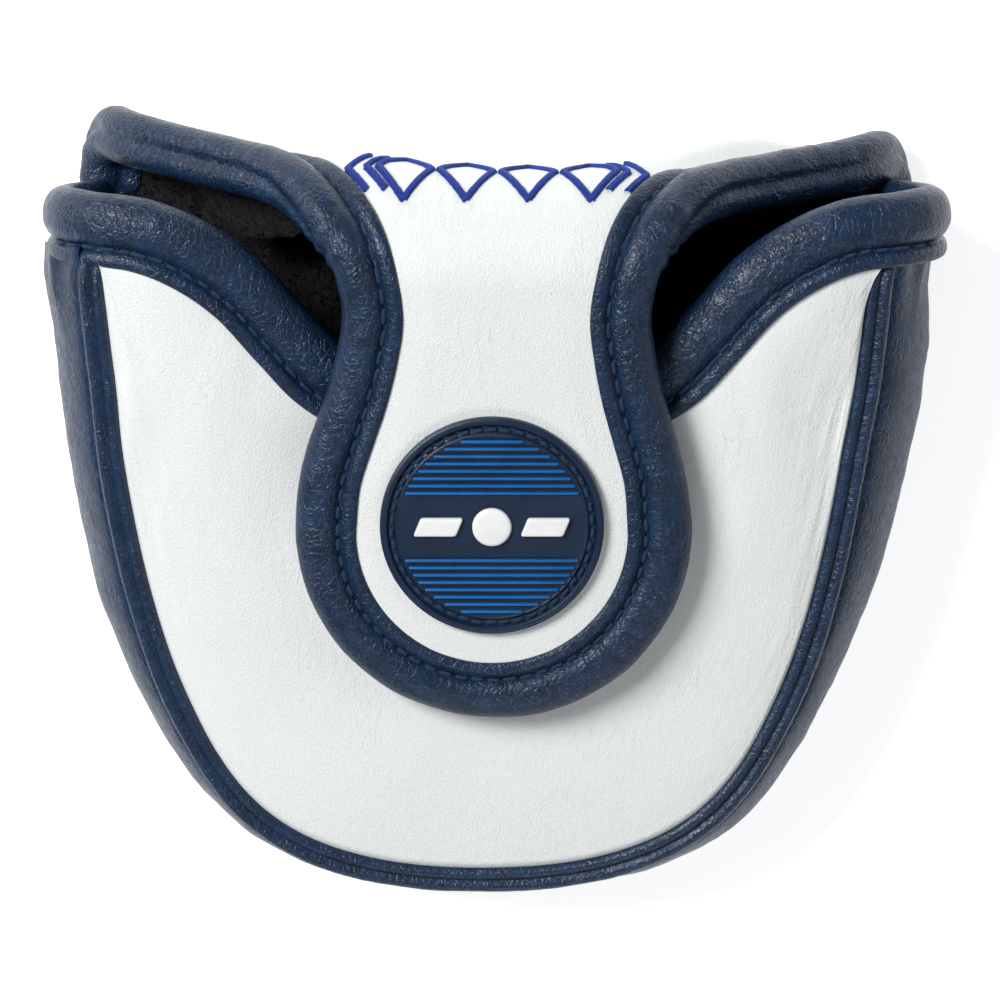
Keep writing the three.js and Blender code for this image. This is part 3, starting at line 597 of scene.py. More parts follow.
MOUTH_SECTION = binding_section(MOUTH_OUTLINE, 2.34, -2.42, 3.9)
TONGUE_SECTION, WING_SECTION = (
    binding_section(outline, HALF + SLOT_PLAY, -HALF - SLOT_PLAY, EDGE - 0.1)
    for outline in (TONGUE_OUTLINE, WING_OUTLINE))


def carry(section, frames):
    """The section's points at each frame."""
    at, inward, normal = (part[:, None] for part in frames)
    return at + inward * section[..., :1] + normal * section[..., 1:]


def section_normals(section):
    ahead = np.roll(section, -1, -2) - np.roll(section, 1, -2)
    return unit(np.stack([-ahead[..., 1], ahead[..., 0]], -1) + 1e-9)


def crumpled(section, frames, depth, seed, ease=None):
    """The section with the small swells and creases of leather drawn over a soft core."""
    rings = carry(section, frames)
    swell = rough_noise(rings / 5.5, 2, seed) * 0.55
    run = lengths(frames[0])[:, None]
    turn = np.linspace(0, 2.4, section.shape[-2])
    crease = np.abs(value_noise(stacked(run / 2.1, turn, 0.0), seed + 9))
    crease = -0.9 * (1 - smooth(crease, 0, 0.16)) * smooth(value_noise(rings / 7, seed + 20), 0.0, 0.5)
    amount = depth * (swell + crease)
    amount[:, AROUND:] = 0
    amount *= 1 - smooth(section[..., 0], 2.4, 3.6)
    if ease is not None:
        amount *= ease[:, None]
    return section + section_normals(section) * amount[..., None]


def rounded_end(section, run, radius):
    """The section drawn in towards its middle at the ends of a sweep."""
    d = np.clip(np.minimum(run, run[-1] - run) / radius, 0.02, 1)
    return section * np.sqrt(1 - (1 - d) ** 2)[:, None, None]


def thread_rings(middle, across, up, wide, high, sides):
    """Rings of points round a thread of that half width and half height."""
    angle = circle(sides)[:, None]
    return middle[:, None] + across[:, None] * np.cos(angle) * wide + up[:, None] * np.sin(angle) * high


def stitches(frames, run, along, up, start, end, seed, pitch=STITCH_PITCH, length=STITCH_LENGTH):
    """A row of sewn stitches, each a short thread that dips into the leather at both ends."""
    shape = Shape()
    random = np.random.default_rng(seed)
    for first in np.arange(start, end - length, pitch):
        jitter = random.uniform(-0.12, 0.12, 3)
        t = np.linspace(0, 1, 9)
        place = first + jitter[0] + t * length
        at, inward, normal = frames_at(place, run, frames)
        sink = 0.34 * (2 * t - 1) ** 4
        middle = at + inward * (along + jitter[1]) + normal * (up + jitter[2] * 0.4 - sink)[:, None]
        thick = STITCH_RADIUS * np.sqrt(1 - (2 * t - 1) ** 6 * 0.8)[:, None, None]
        shape.tube(thread_rings(middle, inward, normal, 1.15 * thick, 0.8 * thick, 8))
    return shape


# ---------- Cloth simulation ----------
CLOTH_FRAMES = 20
EASED_BORDER = 6.0  # the skin's movement fades out over this width along the border, in millimetres


def settled(grid, every, pressure, growth, limit):
    """The grid after its skin has been simulated as cloth held at the border and blown up from behind.

    every is the spacing of the simulated rows and columns, growth how much too large the skin is cut, and
    limit the farthest any point may move, in millimetres."""
    rows, columns = (np.unique(np.r_[np.arange(0, n, every), n - 1]) for n in grid.shape[:2])
    coarse = grid[np.ix_(rows, columns)]
    index = np.arange(coarse.shape[0] * coarse.shape[1]).reshape(coarse.shape[:2])
    mesh = bpy.data.meshes.new("simulated_skin")
    mesh.from_pydata((coarse.reshape(-1, 3) * MM).tolist(), [], quads_of(index).tolist())
    skin = bpy.data.objects.new("simulated_skin", mesh)
    bpy.context.scene.collection.objects.link(skin)
    border = np.unique(np.concatenate([index[0], index[-1], index[:, 0], index[:, -1]]))
    skin.vertex_groups.new(name="held").add(border.tolist(), 1.0, "REPLACE")
    cloth = skin.modifiers.new("Cloth", "CLOTH")
    cloth.settings.vertex_group_mass = "held"
    cloth.settings.use_pressure = True
    cloth.settings.uniform_pressure_force = pressure
    cloth.settings.shrink_min = -growth
    cloth.settings.bending_stiffness = 12.0
    cloth.settings.effector_weights.gravity = 0
    cloth.collision_settings.use_collision = False
    cloth.point_cache.frame_end = CLOTH_FRAMES
    for moment in range(1, CLOTH_FRAMES + 1):
        bpy.context.scene.frame_set(moment)
    result = skin.evaluated_get(bpy.context.evaluated_depsgraph_get()).data
    moved = np.empty(index.size * 3, np.float32)
    result.vertices.foreach_get("co", moved)
    bpy.data.objects.remove(skin)
    bpy.data.meshes.remove(mesh)
    bpy.context.scene.frame_set(1)
    move = moved.reshape(coarse.shape) / MM - coarse
    reach = np.linalg.norm(move, axis=-1, keepdims=True)
    move = move * limit * np.tanh(reach / limit) / np.maximum(reach, 1e-6)
    for axis in (0, 1):
        apart = np.linalg.norm(np.diff(coarse, axis=axis), axis=-1)
        run = np.insert(np.cumsum(apart, axis), 0, 0, axis)
        total = np.take(run, [-1], axis)
        move = move * smooth(np.minimum(run, total - run), 0, EASED_BORDER)[..., None]
    return grid + spread(spread(move, rows, grid.shape[0], 0), columns, grid.shape[1], 1)


def spread(values, places, count, axis):
    """Values given at some rows or columns, carried smoothly to all of them."""
    every = np.arange(count)
    k = np.clip(np.searchsorted(places, every, "right") - 1, 0, len(places) - 2)
    shape = [1] * values.ndim
    shape[axis] = count
    gap = (places[k + 1] - places[k]).reshape(shape)
    t = (every - places[k]).reshape(shape) / gap
    slope = np.gradient(values, places, axis=axis)
    near, far = np.take(values, k, axis), np.take(values, k + 1, axis)
    leave, arrive = np.take(slope, k, axis) * gap, np.take(slope, k + 1, axis) * gap
    return lerp(near, far, t * t * (3 - 2 * t)) + t * (1 - t) ** 2 * leave - t * t * (1 - t) * arrive


# ---------- Sole-side wall ----------
SOLE_PUFF = 1.6
EDGE_ROUND = 1.6  # radius of the panel's turned edge beside the piping
SKIN_SPACING, SKIN_PRESSURE = 5, 4.0  # grid rows per simulated row, and the force behind the skin


def white_edge(y):
    return -lerp(1.9, 3.3, smooth(y, -60, -34))


def sole_grid(offset, rows, columns, tuck=0.0):
    """The sole-side wall: rows go from the piping to the mouth's binding, columns along the seam."""
    u = even_seam(37.5, columns)
    low_xy = seam(u, white_edge(seam(u)[:, 1]) - tuck)
    run = np.linspace(MOUTH_CORNER_RUN + 0.6, MOUTH_LENGTH - MOUTH_CORNER_RUN - 0.6, columns)
    at, inward, normal = frames_at(run, MOUTH_RUN, MOUTH_FRAMES)
    high = at + inward * (4.6 + tuck) + normal * 2.28
    v = np.linspace(0, 1, rows)[:, None] ** 1.6
    xy = lerp(low_xy[None], high[None, :, :2], v[..., None])
    reach = np.linalg.norm(high[:, :2] - low_xy, axis=1)[None] * v
    across = np.linspace(0.02, 0.98, columns)[None]
    puff = SOLE_PUFF * np.sin(math.pi * v) ** 0.8 * np.sqrt(np.sin(math.pi * across))
    near = np.clip(reach / EDGE_ROUND, 0, 1)
    turned = EDGE_ROUND * (np.sqrt(1 - (1 - near) ** 2) - 1)
    rise = (high[:, 2] - front_z(high[:, 1]))[None] * smooth(v, 0.35, 1.0)
    z = front_z(xy[..., 1]) + puff + turned + rise
    return np.concatenate([xy, (z + offset)[..., None]], -1)


def make_sole_wall():
    size = (130, 300)
    outer = settled(sole_grid(0.0, *size), SKIN_SPACING, SKIN_PRESSURE, 0.0015, 0.6)
    inner = sole_grid(-HALF + PAD_BACK, *size, 0.4)
    inner[..., 2] = np.minimum(inner[..., 2], outer[..., 2] - 1.2)
    wall = piece("sole_wall", Shape().slab(outer, inner), WHITE)
    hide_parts("sole_panel", "sole_padding")
    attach(wall, "pouch")


def make_sole_lining():
    size = (70, 160)
    back = sole_grid(-HALF + PAD_BACK - GAP, *size, 0.8)
    face = sole_grid(-WALL, *size, 0.8)
    face[..., 2] += 0.22 * rough_noise(back / NAP_SIZE, 3, 5)
    back[..., 2] = np.maximum(back[..., 2], face[..., 2] + 0.4)
    lining = piece("sole_fleece", Shape().slab(back, face), FLEECE_CLOTH)
    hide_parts("sole_lining")
    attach(lining, "pouch")


# ---------- Gusset ----------
# How far the gusset stands out of the seam line; it is fuller on the toe side.
BULGE_Y = [-65, -61, -54, -42, -29, -16, 3, 16, 46]
BULGE_HEEL = [2.4, 3.5, 4.3, 4.4, 5.5, 6.3, 6.7, 7.0, 7.0]
BULGE_TOE = [2.4, 4.2, 5.4, 5.2, 5.9, 7.2, 8.7, 9.1, 8.7]
GUSSET_END_Y = 41.5
GUSSET_TOP = 1.2  # its upper edge lies this far under the sole-side wall's face


def gusset_grid(depth, rows, columns, low_z, under_front):
    u = even_seam(GUSSET_END_Y, columns)[:, None]
    y = seam(u)[..., 1]
    v = np.linspace(0, 1, rows)[None]
    z = lerp(low_z, front_z(y) - under_front, v)
    share = (z - CROWN_SEAM_Z) / (front_z(y) - GUSSET_TOP - CROWN_SEAM_Z)
    rest = lerp(0.6, welt_shift(y) + 1.9, share)
    full = np.sin(math.pi * np.clip(share, 0.0, 1.0)) ** 0.7
    bulge = lerp(np.interp(y, BULGE_Y, BULGE_HEEL), np.interp(y, BULGE_Y, BULGE_TOE), smooth(u, 0.42, 0.58))
    pleat = 3.6 * smooth(y, 15, 46) * np.exp(-(((share - 0.26) / 0.17) ** 2))
    out = rest + (bulge - rest) * full - pleat
    edge = np.array(MOUTH_HEEL_HALF[:6])
    edge_x = np.interp(z, edge[:, 2], -edge[:, 0])
    meet = edge_x + 2.3 - half_seam(1 - 2 * u.min())[0][0]
    pull = smooth(y, 24, GUSSET_END_Y) * smooth(share, 0.08, 0.25) * (1 - smooth(share, 0.82, 0.97))
    out = lerp(out, meet, pull)
    return on_seam(u + 0 * v, out - depth, z)


def make_gusset():
    rows, columns = 70, 420
    outside = (rows, columns, CROWN_SEAM_Z, GUSSET_TOP)
    outer = settled(gusset_grid(0.0, *outside), SKIN_SPACING, SKIN_PRESSURE, 0.0, 0.5)
    folds = 0.22 * rough_noise(outer * (1 / 9, 1 / 9, 1 / 16), 3, 11)
    fine = -0.08 * (1 - smooth(np.abs(value_noise(outer * (0.16, 0.16, 0.5), 31)), 0, 0.12))
    away = outer - gusset_grid(1.0, *outside)
    ends = np.linspace(0, 1, rows)[None, :, None]
    outer = outer + away * (folds + fine)[..., None] * np.sin(math.pi * ends) ** 0.5
    inner = gusset_grid(3.1, rows, columns, CROWN_SEAM_Z + 1.6, 4.8)
    gusset = piece("gusset", Shape().slab(outer, inner), NAVY_GUSSET)
    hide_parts("side_gusset", "gusset_padding")
    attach(gusset, "pouch")


def make_gusset_lining():
    back, face = (gusset_grid(depth, 40, 200, 6.2, 6.4) for depth in (3.5, 4.6))
    fuzz = 0.2 * rough_noise(face / NAP_SIZE, 3, 6)
    face = face + (back - face) * fuzz[..., None]
    lining = piece("gusset_fleece", Shape().slab(back, face), FLEECE_CLOTH)
    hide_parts("gusset_lining")
    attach(lining, "pouch")


# ---------- Piping ----------
# A bead and, beside it, the ridge where the gusset's leather is turned in: (outwards, upwards).
WELT_OUTLINE = [
    (-0.6, -3.4), (-1.7, -2.9), (-2.25, -1.9), (-2.32, -0.9), (-1.95, 0.0), (-1.15, 0.4), (-0.4, 0.1),
    (0.0, -0.4), (0.4, -0.22), (1.05, -0.05), (1.65, -0.3), (2.0, -0.9), (1.9, -1.7), (1.5, -2.4),
    (0.6, -3.3), (-0.6, -3.4)]


def make_sole_piping():
    outline = spline(WELT_OUTLINE, 45)[:-1]
    u = even_seam(40.0, 560)[:, None]
    y = seam(u)[..., 1]
    run = lengths(seam(u[:, 0]))[:, None]
    turn = np.linspace(0, 5, len(outline))
    streaks = value_noise(stacked(run / 0.8, turn, 0.0), 3)
    swell = value_noise(stacked(run / 6.0, turn * 0.5, 0.0), 4)
    puff = 1 + 0.018 * streaks + 0.045 * swell
    out = welt_shift(y) + outline[:, 0] * puff
    z = front_z(y) + welt_dive(y) + outline[:, 1] * puff
    welt = piece("sole_welt", Shape().tube(on_seam(u, out, z)), NAVY_PIPING)
    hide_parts("sole_piping", "sole_piping_cord")
    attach(welt, "pouch")


CROWN_WELT_OUT, CROWN_WELT_Z, CROWN_WELT_RADIUS = 0.6, 2.1, 1.85


def make_crown_piping():
    angle = circle(28)
    u = even_seam(44.0, 480)[:, None]
    run = lengths(seam(u[:, 0]))[:, None]
    radius = CROWN_WELT_RADIUS + 0.07 * value_noise(stacked(run / 5.0, np.cos(angle), np.sin(angle)), 8)
    out = CROWN_WELT_OUT + radius * np.cos(angle)
    z = CROWN_WELT_Z + radius * np.sin(angle)
    bead = piece("crown_welt", Shape().tube(on_seam(u, out, z)), NAVY_PIPING)
    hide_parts("crown_piping", "crown_piping_cord")
    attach(bead, "pouch")


# ---------- Mouth binding ----------
def make_mouth_binding():
    count = int(MOUTH_LENGTH / STEP)
    run = np.linspace(0, MOUTH_LENGTH, count)
    frames = frames_at(run, MOUTH_RUN, MOUTH_FRAMES)
    section = np.broadcast_to(MOUTH_SECTION, (count, *MOUTH_SECTION.shape))
    section = crumpled(section, frames, 0.16, 40)
    taper = lerp(0.66, 1.0, smooth(np.minimum(run, MOUTH_LENGTH - run), 0, 30))
    section = rounded_end(section * taper[:, None, None], run, 3.0)
    roll = piece("mouth_roll", Shape().tube(carry(section, frames)), NAVY)
    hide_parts("mouth_binding", "mouth_binding_core")
    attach(roll, "pouch")
    sewn = stitches(frames, run, 4.1, 2.42, 25, MOUTH_LENGTH - 25, seed=2)
    row = piece("mouth_stitches", sewn, NAVY_THREAD)
    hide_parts("mouth_binding_thread")
    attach(row, "pouch")


# ---------- How far padding lifts the flap's leather, and how far its lining hangs inwards ----------
def from_panel_edge(s, x):
    return np.minimum(inset_width(s, EDGE) - np.abs(x), TONGUE_CENTRE_S + TONGUE_RADIUS - EDGE - s)


def flap_puff(s, x):
    """Least along the binding and on the tongue, and most where the face wall bellies out beside the neck."""
    s, x = np.broadcast_arrays(np.asarray(s, float), x)
    inside = from_panel_edge(s, x)
    wall = smooth(s, 4, 16) * (1 - smooth(s, 34, 50))
    lobe = 1.0 + 2.4 * np.exp(-(((np.abs(x) - 38) / 15) ** 2))
    return 0.35 * smooth(inside, 0, 8) * smooth(s, 8, 16) + wall * lobe * smooth(inside, 0, 12)


def lining_hang(s, x):
    """The fleece hangs in loose behind the corners, most on the heel side."""
    wing = np.exp(-(((np.abs(x) - 40) / 17) ** 2)) * np.where(x < 0, 9.5, 2.0)
    return wing * smooth(s, 5, 17) * (1 - smooth(s, 27, 40)) * past_strip(s, x, 12)


def past_strip(s, x, width):
    """0 under the binding's sewn-down strip, rising to 1 at that distance from the panel's edge."""
    return smooth(from_panel_edge(s, x), STRIP_TIP - EDGE, width)


def fleece_face(s, x, places, seed):
    """How far the lining's napped face lies from the flap's middle surface."""
    nap = 0.25 + 0.35 * rough_noise(places / NAP_SIZE, 3, seed)
    return -HALF - lining_hang(s, x) - nap * past_strip(s, x, STRIP_TIP - EDGE + 2)


# ---------- Crown side, lower fold and the lower part of the face wall ----------
CROWN_INSET = 2.4


def strip_rows():
    """Places s along the strip and its half width there, from the rear to the split on the face wall."""
    t_end = np.interp(LOWER_FOLD_Y - 8, SEAM_T_Y, SEAM_T)
    t = np.linspace(0.004, t_end, 120)
    point, direction = half_seam(t)
    x = point[:, 0] - direction[:, 1] * CROWN_INSET
    y = point[:, 1] + direction[:, 0] * CROWN_INSET
    s = np.linspace(-8, SPLIT_S, 60)[1:]
    seam_x = half_seam(np.interp(LOWER_FOLD_Y + s, SEAM_T_Y, SEAM_T))[0][:, 0] - CROWN_INSET
    width = lerp(seam_x, inset_width(s, EDGE), smooth(s, -8, 4))
    return np.concatenate([y - LOWER_FOLD_Y, s]), np.concatenate([np.maximum(x, 0.3), width])


def strip_grid(offset, columns, narrower=0.0):
    s, width = strip_rows()
    q = np.sin(np.linspace(-1, 1, columns) * math.pi / 2)[None]
    q = lerp(q, np.linspace(-1, 1, columns)[None], 0.6)
    return flap_point(s[:, None] + 0 * q, q * (width - narrower)[:, None], offset), s, width, q


def make_lower_strip():
    columns = 220
    _, s, width, q = strip_grid(0.0, columns)
    outline = np.vstack([stacked(s, width), stacked(s, -width)])
    s, x = s[:, None], q * width[:, None]
    on_wall = s > 0
    from_edge = np.where(on_wall, (1 - np.abs(q)) * width[:, None], distance_to(stacked(s, x), outline))
    near = np.clip(from_edge / 3.0, 0, 1)
    turned = 1.5 * (np.sqrt(1 - (1 - near) ** 2) - 1) * (1 - smooth(s, -4, 6))
    puff = np.where(on_wall, flap_puff(s, x), 0)
    outer = strip_grid(HALF + turned + puff, columns)[0]
    inner = strip_grid(PAD_BACK, columns)[0]
    strip = piece("crown_and_wall", Shape().slab(outer, inner), WHITE)
    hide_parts("crown_panel", "crown_padding", "bridge_panel", "bridge_padding")
    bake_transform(strip)
    hang = np.where(on_wall, lining_hang(s, x), 0)
    napped = fleece_face(s, x, outer, 7)
    plain = -HALF + 0.25 * rough_noise(outer / NAP_SIZE, 3, 7)
    face, *_ = strip_grid(np.where(on_wall, napped, plain), columns, 0.4)
    back, *_ = strip_grid(PAD_BACK - GAP - hang, columns, 0.4)
    lining = piece("crown_and_wall_fleece", Shape().slab(back, face), FLEECE_CLOTH)
    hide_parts("crown_lining", "bridge_lining")
    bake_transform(lining)


# ---------- Upper part of the face wall, upper fold and tongue ----------
def tongue_rows(inset):
    s = np.linspace(SPLIT_S, TONGUE_CENTRE_S, 110)
    angle = np.linspace(0, math.radians(88.5), 60)[1:]
    radius = TONGUE_RADIUS - inset
    return (np.concatenate([s, TONGUE_CENTRE_S + radius * np.sin(angle)]),
            np.concatenate([inset_width(s, inset), radius * np.cos(angle)]))


def tongue_grid(offset, columns, inset=EDGE):
    s, width = tongue_rows(inset)
    q = np.linspace(-1, 1, columns)[None]
    return flap_point(s[:, None] + 0 * q, q * width[:, None], offset)


def make_upper_strip():
    columns = 110
    s, width = tongue_rows(EDGE)
    s, x = s[:, None], np.linspace(-1, 1, columns) * width[:, None]
    outer = tongue_grid(HALF + flap_puff(s, x), columns)
    inner = tongue_grid(PAD_BACK, columns)
    strip = piece("flap_and_tongue", Shape().slab(outer, inner), WHITE)
    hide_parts("tongue_panel", "tongue_padding")
    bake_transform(strip)
    face = tongue_grid(fleece_face(s, x, outer, 17), columns, EDGE + 0.3)
    back = tongue_grid(PAD_BACK - GAP - lining_hang(s, x), columns, EDGE + 0.3)
    lining = piece("flap_and_tongue_fleece", Shape().slab(back, face), FLEECE_CLOTH)
    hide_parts("tongue_lining")
    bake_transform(lining)


# ---------- Flap binding ----------
CORNER_S = -3.0
TABLE_CONTACT = 0.05  # the rolls' ends are pressed flat on the table here


def flap_edge():
    """Evenly spaced frames along the flap's edge, heel corner to toe corner, and the place s of each."""
    s = np.linspace(CORNER_S, TONGUE_CENTRE_S, 500)
    angle = np.linspace(0, math.pi, 300)[1:-1]
    heel = stacked(s, -half_width(s))
    turn = stacked(TONGUE_CENTRE_S + TONGUE_RADIUS * np.sin(angle), -TONGUE_RADIUS * np.cos(angle))
    path = np.vstack([heel, turn, heel[::-1] * (1, -1)])
    run = lengths(flap_middle(path[:, 0], path[:, 1]))
    count = int(run[-1] / STEP)
    even = np.linspace(0, run[-1], count)
    s, x = (np.interp(even, run, path[:, i]) for i in range(2))
    kernel = np.hanning(9) / np.hanning(9).sum()
    s[4:-4], x[4:-4] = (np.convolve(part, kernel, "valid") for part in (s, x))
    return frames_along(flap_middle(s, x), normals=flap_normal(s, x)), even, s, x


TOE_FULLNESS = 0.16  # share by which the roll is fuller on the toe side of the round end
PINCHES = [(45.5, 0.3, 1.1), (48.3, 0.55, 0.9), (51.6, 0.45, 1.0)]  # s, depth, half width


def flap_binding_section(frames, s, x):
    """The binding's section at each frame: full on the face wall, slimmer round the tongue."""
    slim = smooth(s, 43, 60)[:, None, None]
    section = lerp(WING_SECTION[None], TONGUE_SECTION[None], slim)
    fuller = 1 + TOE_FULLNESS * smooth(x, -5, 15) * smooth(s, 84, 98)
    section = section * np.where(section[..., :1] < 0, fuller[:, None, None] ** [1, 0], 1)
    ease = smooth(np.abs(s - SPLIT_S), 0, 3)
    section = crumpled(section, frames, 0.15, 60, ease)
    outward = smooth(-section[..., 0], -0.5, 2.5)
    for place, depth, half in PINCHES:
        dip = depth * np.exp(-(((s - place) / half) ** 2))[:, None] * outward
        dip[:, AROUND:] = 0
        section = section - section_normals(section) * dip[..., None]
    return section


def make_flap_binding():
    frames, run, s, x = flap_edge()
    section = flap_binding_section(frames, s, x)
    section = rounded_end(section, run, 3.5)
    rings = carry(section, frames)
    rings[..., 2] = np.maximum(rings[..., 2], TABLE_CONTACT)
    first, last = np.flatnonzero(s >= SPLIT_S)[[0, -1]]
    parts = [
        ("corner_roll_heel", rings[:first + 1], ("pouch", "flap_bridge"), FOLD_A, "heel"),
        ("flap_roll", rings[first:last + 1], ("flap_bridge", "flap_tongue"), FOLD_B, None),
        ("corner_roll_toe", rings[last:], ("pouch", "flap_bridge"), FOLD_A, "toe")]
    for name, part, bodies, fold, side in parts:
        roll = piece(name, Shape().tube(part), NAVY)
        if side:
            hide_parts(*[f"{place}_binding{kind}_{side}"
                                for place in ("corner", "bridge") for kind in ("", "_core")])
        else:
            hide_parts("tongue_binding", "tongue_binding_core")
        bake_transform(roll)
    rows = [
        ("corner_stitches_heel", 26.0, run[first], ("pouch", "flap_bridge"), FOLD_A),
        ("flap_stitches", run[first], run[last], ("flap_bridge", "flap_tongue"), FOLD_B),
        ("corner_stitches_toe", run[last], run[-1] - 26.0, ("pouch", "flap_bridge"), FOLD_A)]
    for number, (name, start, end, bodies, fold) in enumerate(rows):
        sewn = stitches(frames, run, 3.25, 2.52, start, end, seed=10 + number)
        row = piece(name, sewn, NAVY_THREAD)
        if name == "flap_stitches":
            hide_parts("tongue_binding_thread")
        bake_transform(row)


# ---------- Round rubber patch ----------
PATCH_Z = FOLD2_Z + (CLOSURE_Y - FOLD2_Y) * SLOPE + (HALF + 0.35) / math.cos(SLOPE_ANGLE)


def on_patch(points):
    """Points given about the patch's own axis, laid on the tongue."""
    x, y, z = np.moveaxis(np.asarray(points, float), -1, 0)
    c, s = math.cos(SLOPE_ANGLE), math.sin(SLOPE_ANGLE)
    return np.stack([x - TONGUE_LEAN, y * c - z * s + CLOSURE_Y, y * s + z * c + PATCH_Z], -1)


def turned(outline, count=160):
    """A solid turned about the patch's axis from a line of (radius, height), closed at both ends."""
    radius, height = np.array(outline, float).T[..., None]
    angle = circle(count)
    return Shape().tube(on_patch(stacked(radius * np.cos(angle), radius * np.sin(angle), height)))


BAR_LEVELS = ((0.0, 1.0), (0.46, 1.0), (0.572, 0.82), (0.62, 0.5))  # height, and share of its half width


def add_bar(shape, half, y):
    """A raised bar across the patch, reaching half its length each way, with round ends and a rounded top."""
    turn = np.linspace(-math.pi / 2, math.pi / 2, 9)
    rings = []
    for height, share in BAR_LEVELS:
        x, side = half + BAR_HALF * share * np.cos(turn), BAR_HALF * share * np.sin(turn)
        rings.append(stacked(np.r_[x, -x], y + np.r_[side, -side], PATCH_THICK - 0.3 + height))
    shape.tube(on_patch(rings))


def make_patch():
    base_outline = [
        (0.2, 0.0), (17.4, 0.0), (17.8, 0.06), (18.0, 0.25), (18.0, 1.15), (17.93, 1.4), (17.72, 1.56),
        (17.4, 1.6), (17.0, 1.6), (16.86, 1.5), (16.75, 1.25), (16.55, 1.0), (16.2, 0.92), (15.85, 1.0),
        (15.65, 1.22), (15.5, 1.42), (15.35, 1.5), (15.2, 1.44), (15.05, 1.4), (12.0, 1.4), (8.0, 1.4),
        (4.0, 1.4), (0.2, 1.4)]
    base = piece("patch", turned(base_outline), PATCH_RUBBER, 35)
    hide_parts("patch_base")
    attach(base, "flap_tongue")
    for name, side in (("upper", 1), ("lower", -1)):
        shape = Shape()
        for i in range(BARS):
            y = side * (BAR_START + i * BAR_PITCH)
            add_bar(shape, math.sqrt(BAR_FIELD_RADIUS**2 - y**2) - BAR_HALF, y)
        bars = piece(f"patch_bars_{name}_raised", shape, BLUE_RUBBER, 40)
        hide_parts(f"patch_bars_{name}")
        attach(bars, "flap_tongue")


SLANT_CORNERS = np.array([(4.6, -1.5), (11.4, -1.5), (12.6, 1.5), (5.8, 1.5)])  # on the toe side
SLANT_SHIFT = {"heel": -17.2, "toe": 0.0}


def make_patch_motif():
    ball_outline = [
        (0.2, 1.3), (3.1, 1.3), (3.16, 1.5), (3.14, 1.85), (3.0, 2.05), (2.7, 2.15), (2.2, 2.22),
        (1.2, 2.3), (0.2, 2.32)]
    ball = piece("patch_ball", turned(ball_outline, 72), WHITE_RUBBER)
    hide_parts("patch_motif_ball")
    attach(ball, "flap_tongue")
    for name, shift in SLANT_SHIFT.items():
        shape = slanted_bar(SLANT_CORNERS + (shift, 0))
        bar = piece(f"patch_slant_{name}", shape, WHITE_RUBBER)
        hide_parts(f"patch_motif_bar_{name}")
        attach(bar, "flap_tongue")


SLANT_ROUND = 0.5  # radius of its corners
SLANT_LEVELS = ((1.3, 0.0), (2.0, 0.0), (2.13, 0.06), (2.22, 0.22), (2.24, 0.528))  # height, and inset


def slanted_bar(corners):
    """A raised four-sided bar with rounded corners and a bevelled top."""
    outline = []
    t = np.linspace(0, 1, 7)[:, None]
    for before, here, after in zip(np.roll(corners, 1, 0), corners, np.roll(corners, -1, 0)):
        a = here + unit(before - here) * SLANT_ROUND
        b = here + unit(after - here) * SLANT_ROUND
        outline.append((1 - t) ** 2 * a + 2 * t * (1 - t) * here + t**2 * b)
    outline = np.vstack(outline)
    middle = outline.mean(0)
    half = np.abs(outline - middle).max(0)
    rings = []
    for height, inset in SLANT_LEVELS:
        shrunk = middle + (outline - middle) * (1 - inset / half)
        rings.append(stacked(shrunk[:, 0], shrunk[:, 1], height))
    return Shape().tube(on_patch(rings))


RING_STITCHES, RING_STITCH_LENGTH = 46, 1.75


def make_patch_stitches():
    angle = np.linspace(0, 2 * math.pi, 400)
    at = on_patch(stacked(GROOVE_RADIUS * np.cos(angle), GROOVE_RADIUS * np.sin(angle), 0.0))
    centre = on_patch((0, 0, 0))
    up = on_patch((0, 0, 1)) - centre
    frames = (at, unit(centre - at), np.broadcast_to(up, at.shape))
    run = lengths(at)
    sewn = stitches(frames, run, 0.0, 1.28, 0.2, run[-1] - 0.2, 33,
                    run[-1] / RING_STITCHES, RING_STITCH_LENGTH)
    row = piece("patch_stitches", sewn, NAVY_THREAD)
    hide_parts("patch_thread")
    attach(row, "flap_tongue")


# ---------- Embroidery ----------
EMBROIDERY_S = (31.5, 44.6)  # from its lower edge, on the face wall, to its upper edge on the fold
THREAD_SPACING, THREAD_RADIUS, STROKE_WIDTH = 0.34, 0.21, 1.05
DIAMOND_HALF = 4.4  # half a diamond's width


def satin_line(shape, start, end, random):
    """One stroke of satin stitch between two places (x, s): threads laid side by side across it."""
    start, end = np.array(start, float), np.array(end, float)
    along = unit(end - start)
    across = np.array([-along[1], along[0]])
    for place in np.arange(0, np.linalg.norm(end - start), THREAD_SPACING):
        middle = start + along * place
        t = np.linspace(-1, 1, 7)
        slant = along * 0.5 * THREAD_SPACING
        path = middle + t[:, None] * (across * (STROKE_WIDTH / 2 + random.uniform(-0.05, 0.05)) + slant)
        x, s = path[:, 0], path[:, 1]
        lift = 0.08 + 0.34 * np.sqrt(np.maximum(1 - t**4, 0))
        centre = flap_point(s, x, HALF + flap_puff(s, x) + lift)
        normal = flap_normal(s, x)
        side = unit(np.cross(normal, unit(np.gradient(centre, axis=0))))
        shape.tube(thread_rings(centre, side, normal, THREAD_RADIUS, THREAD_RADIUS, 6))


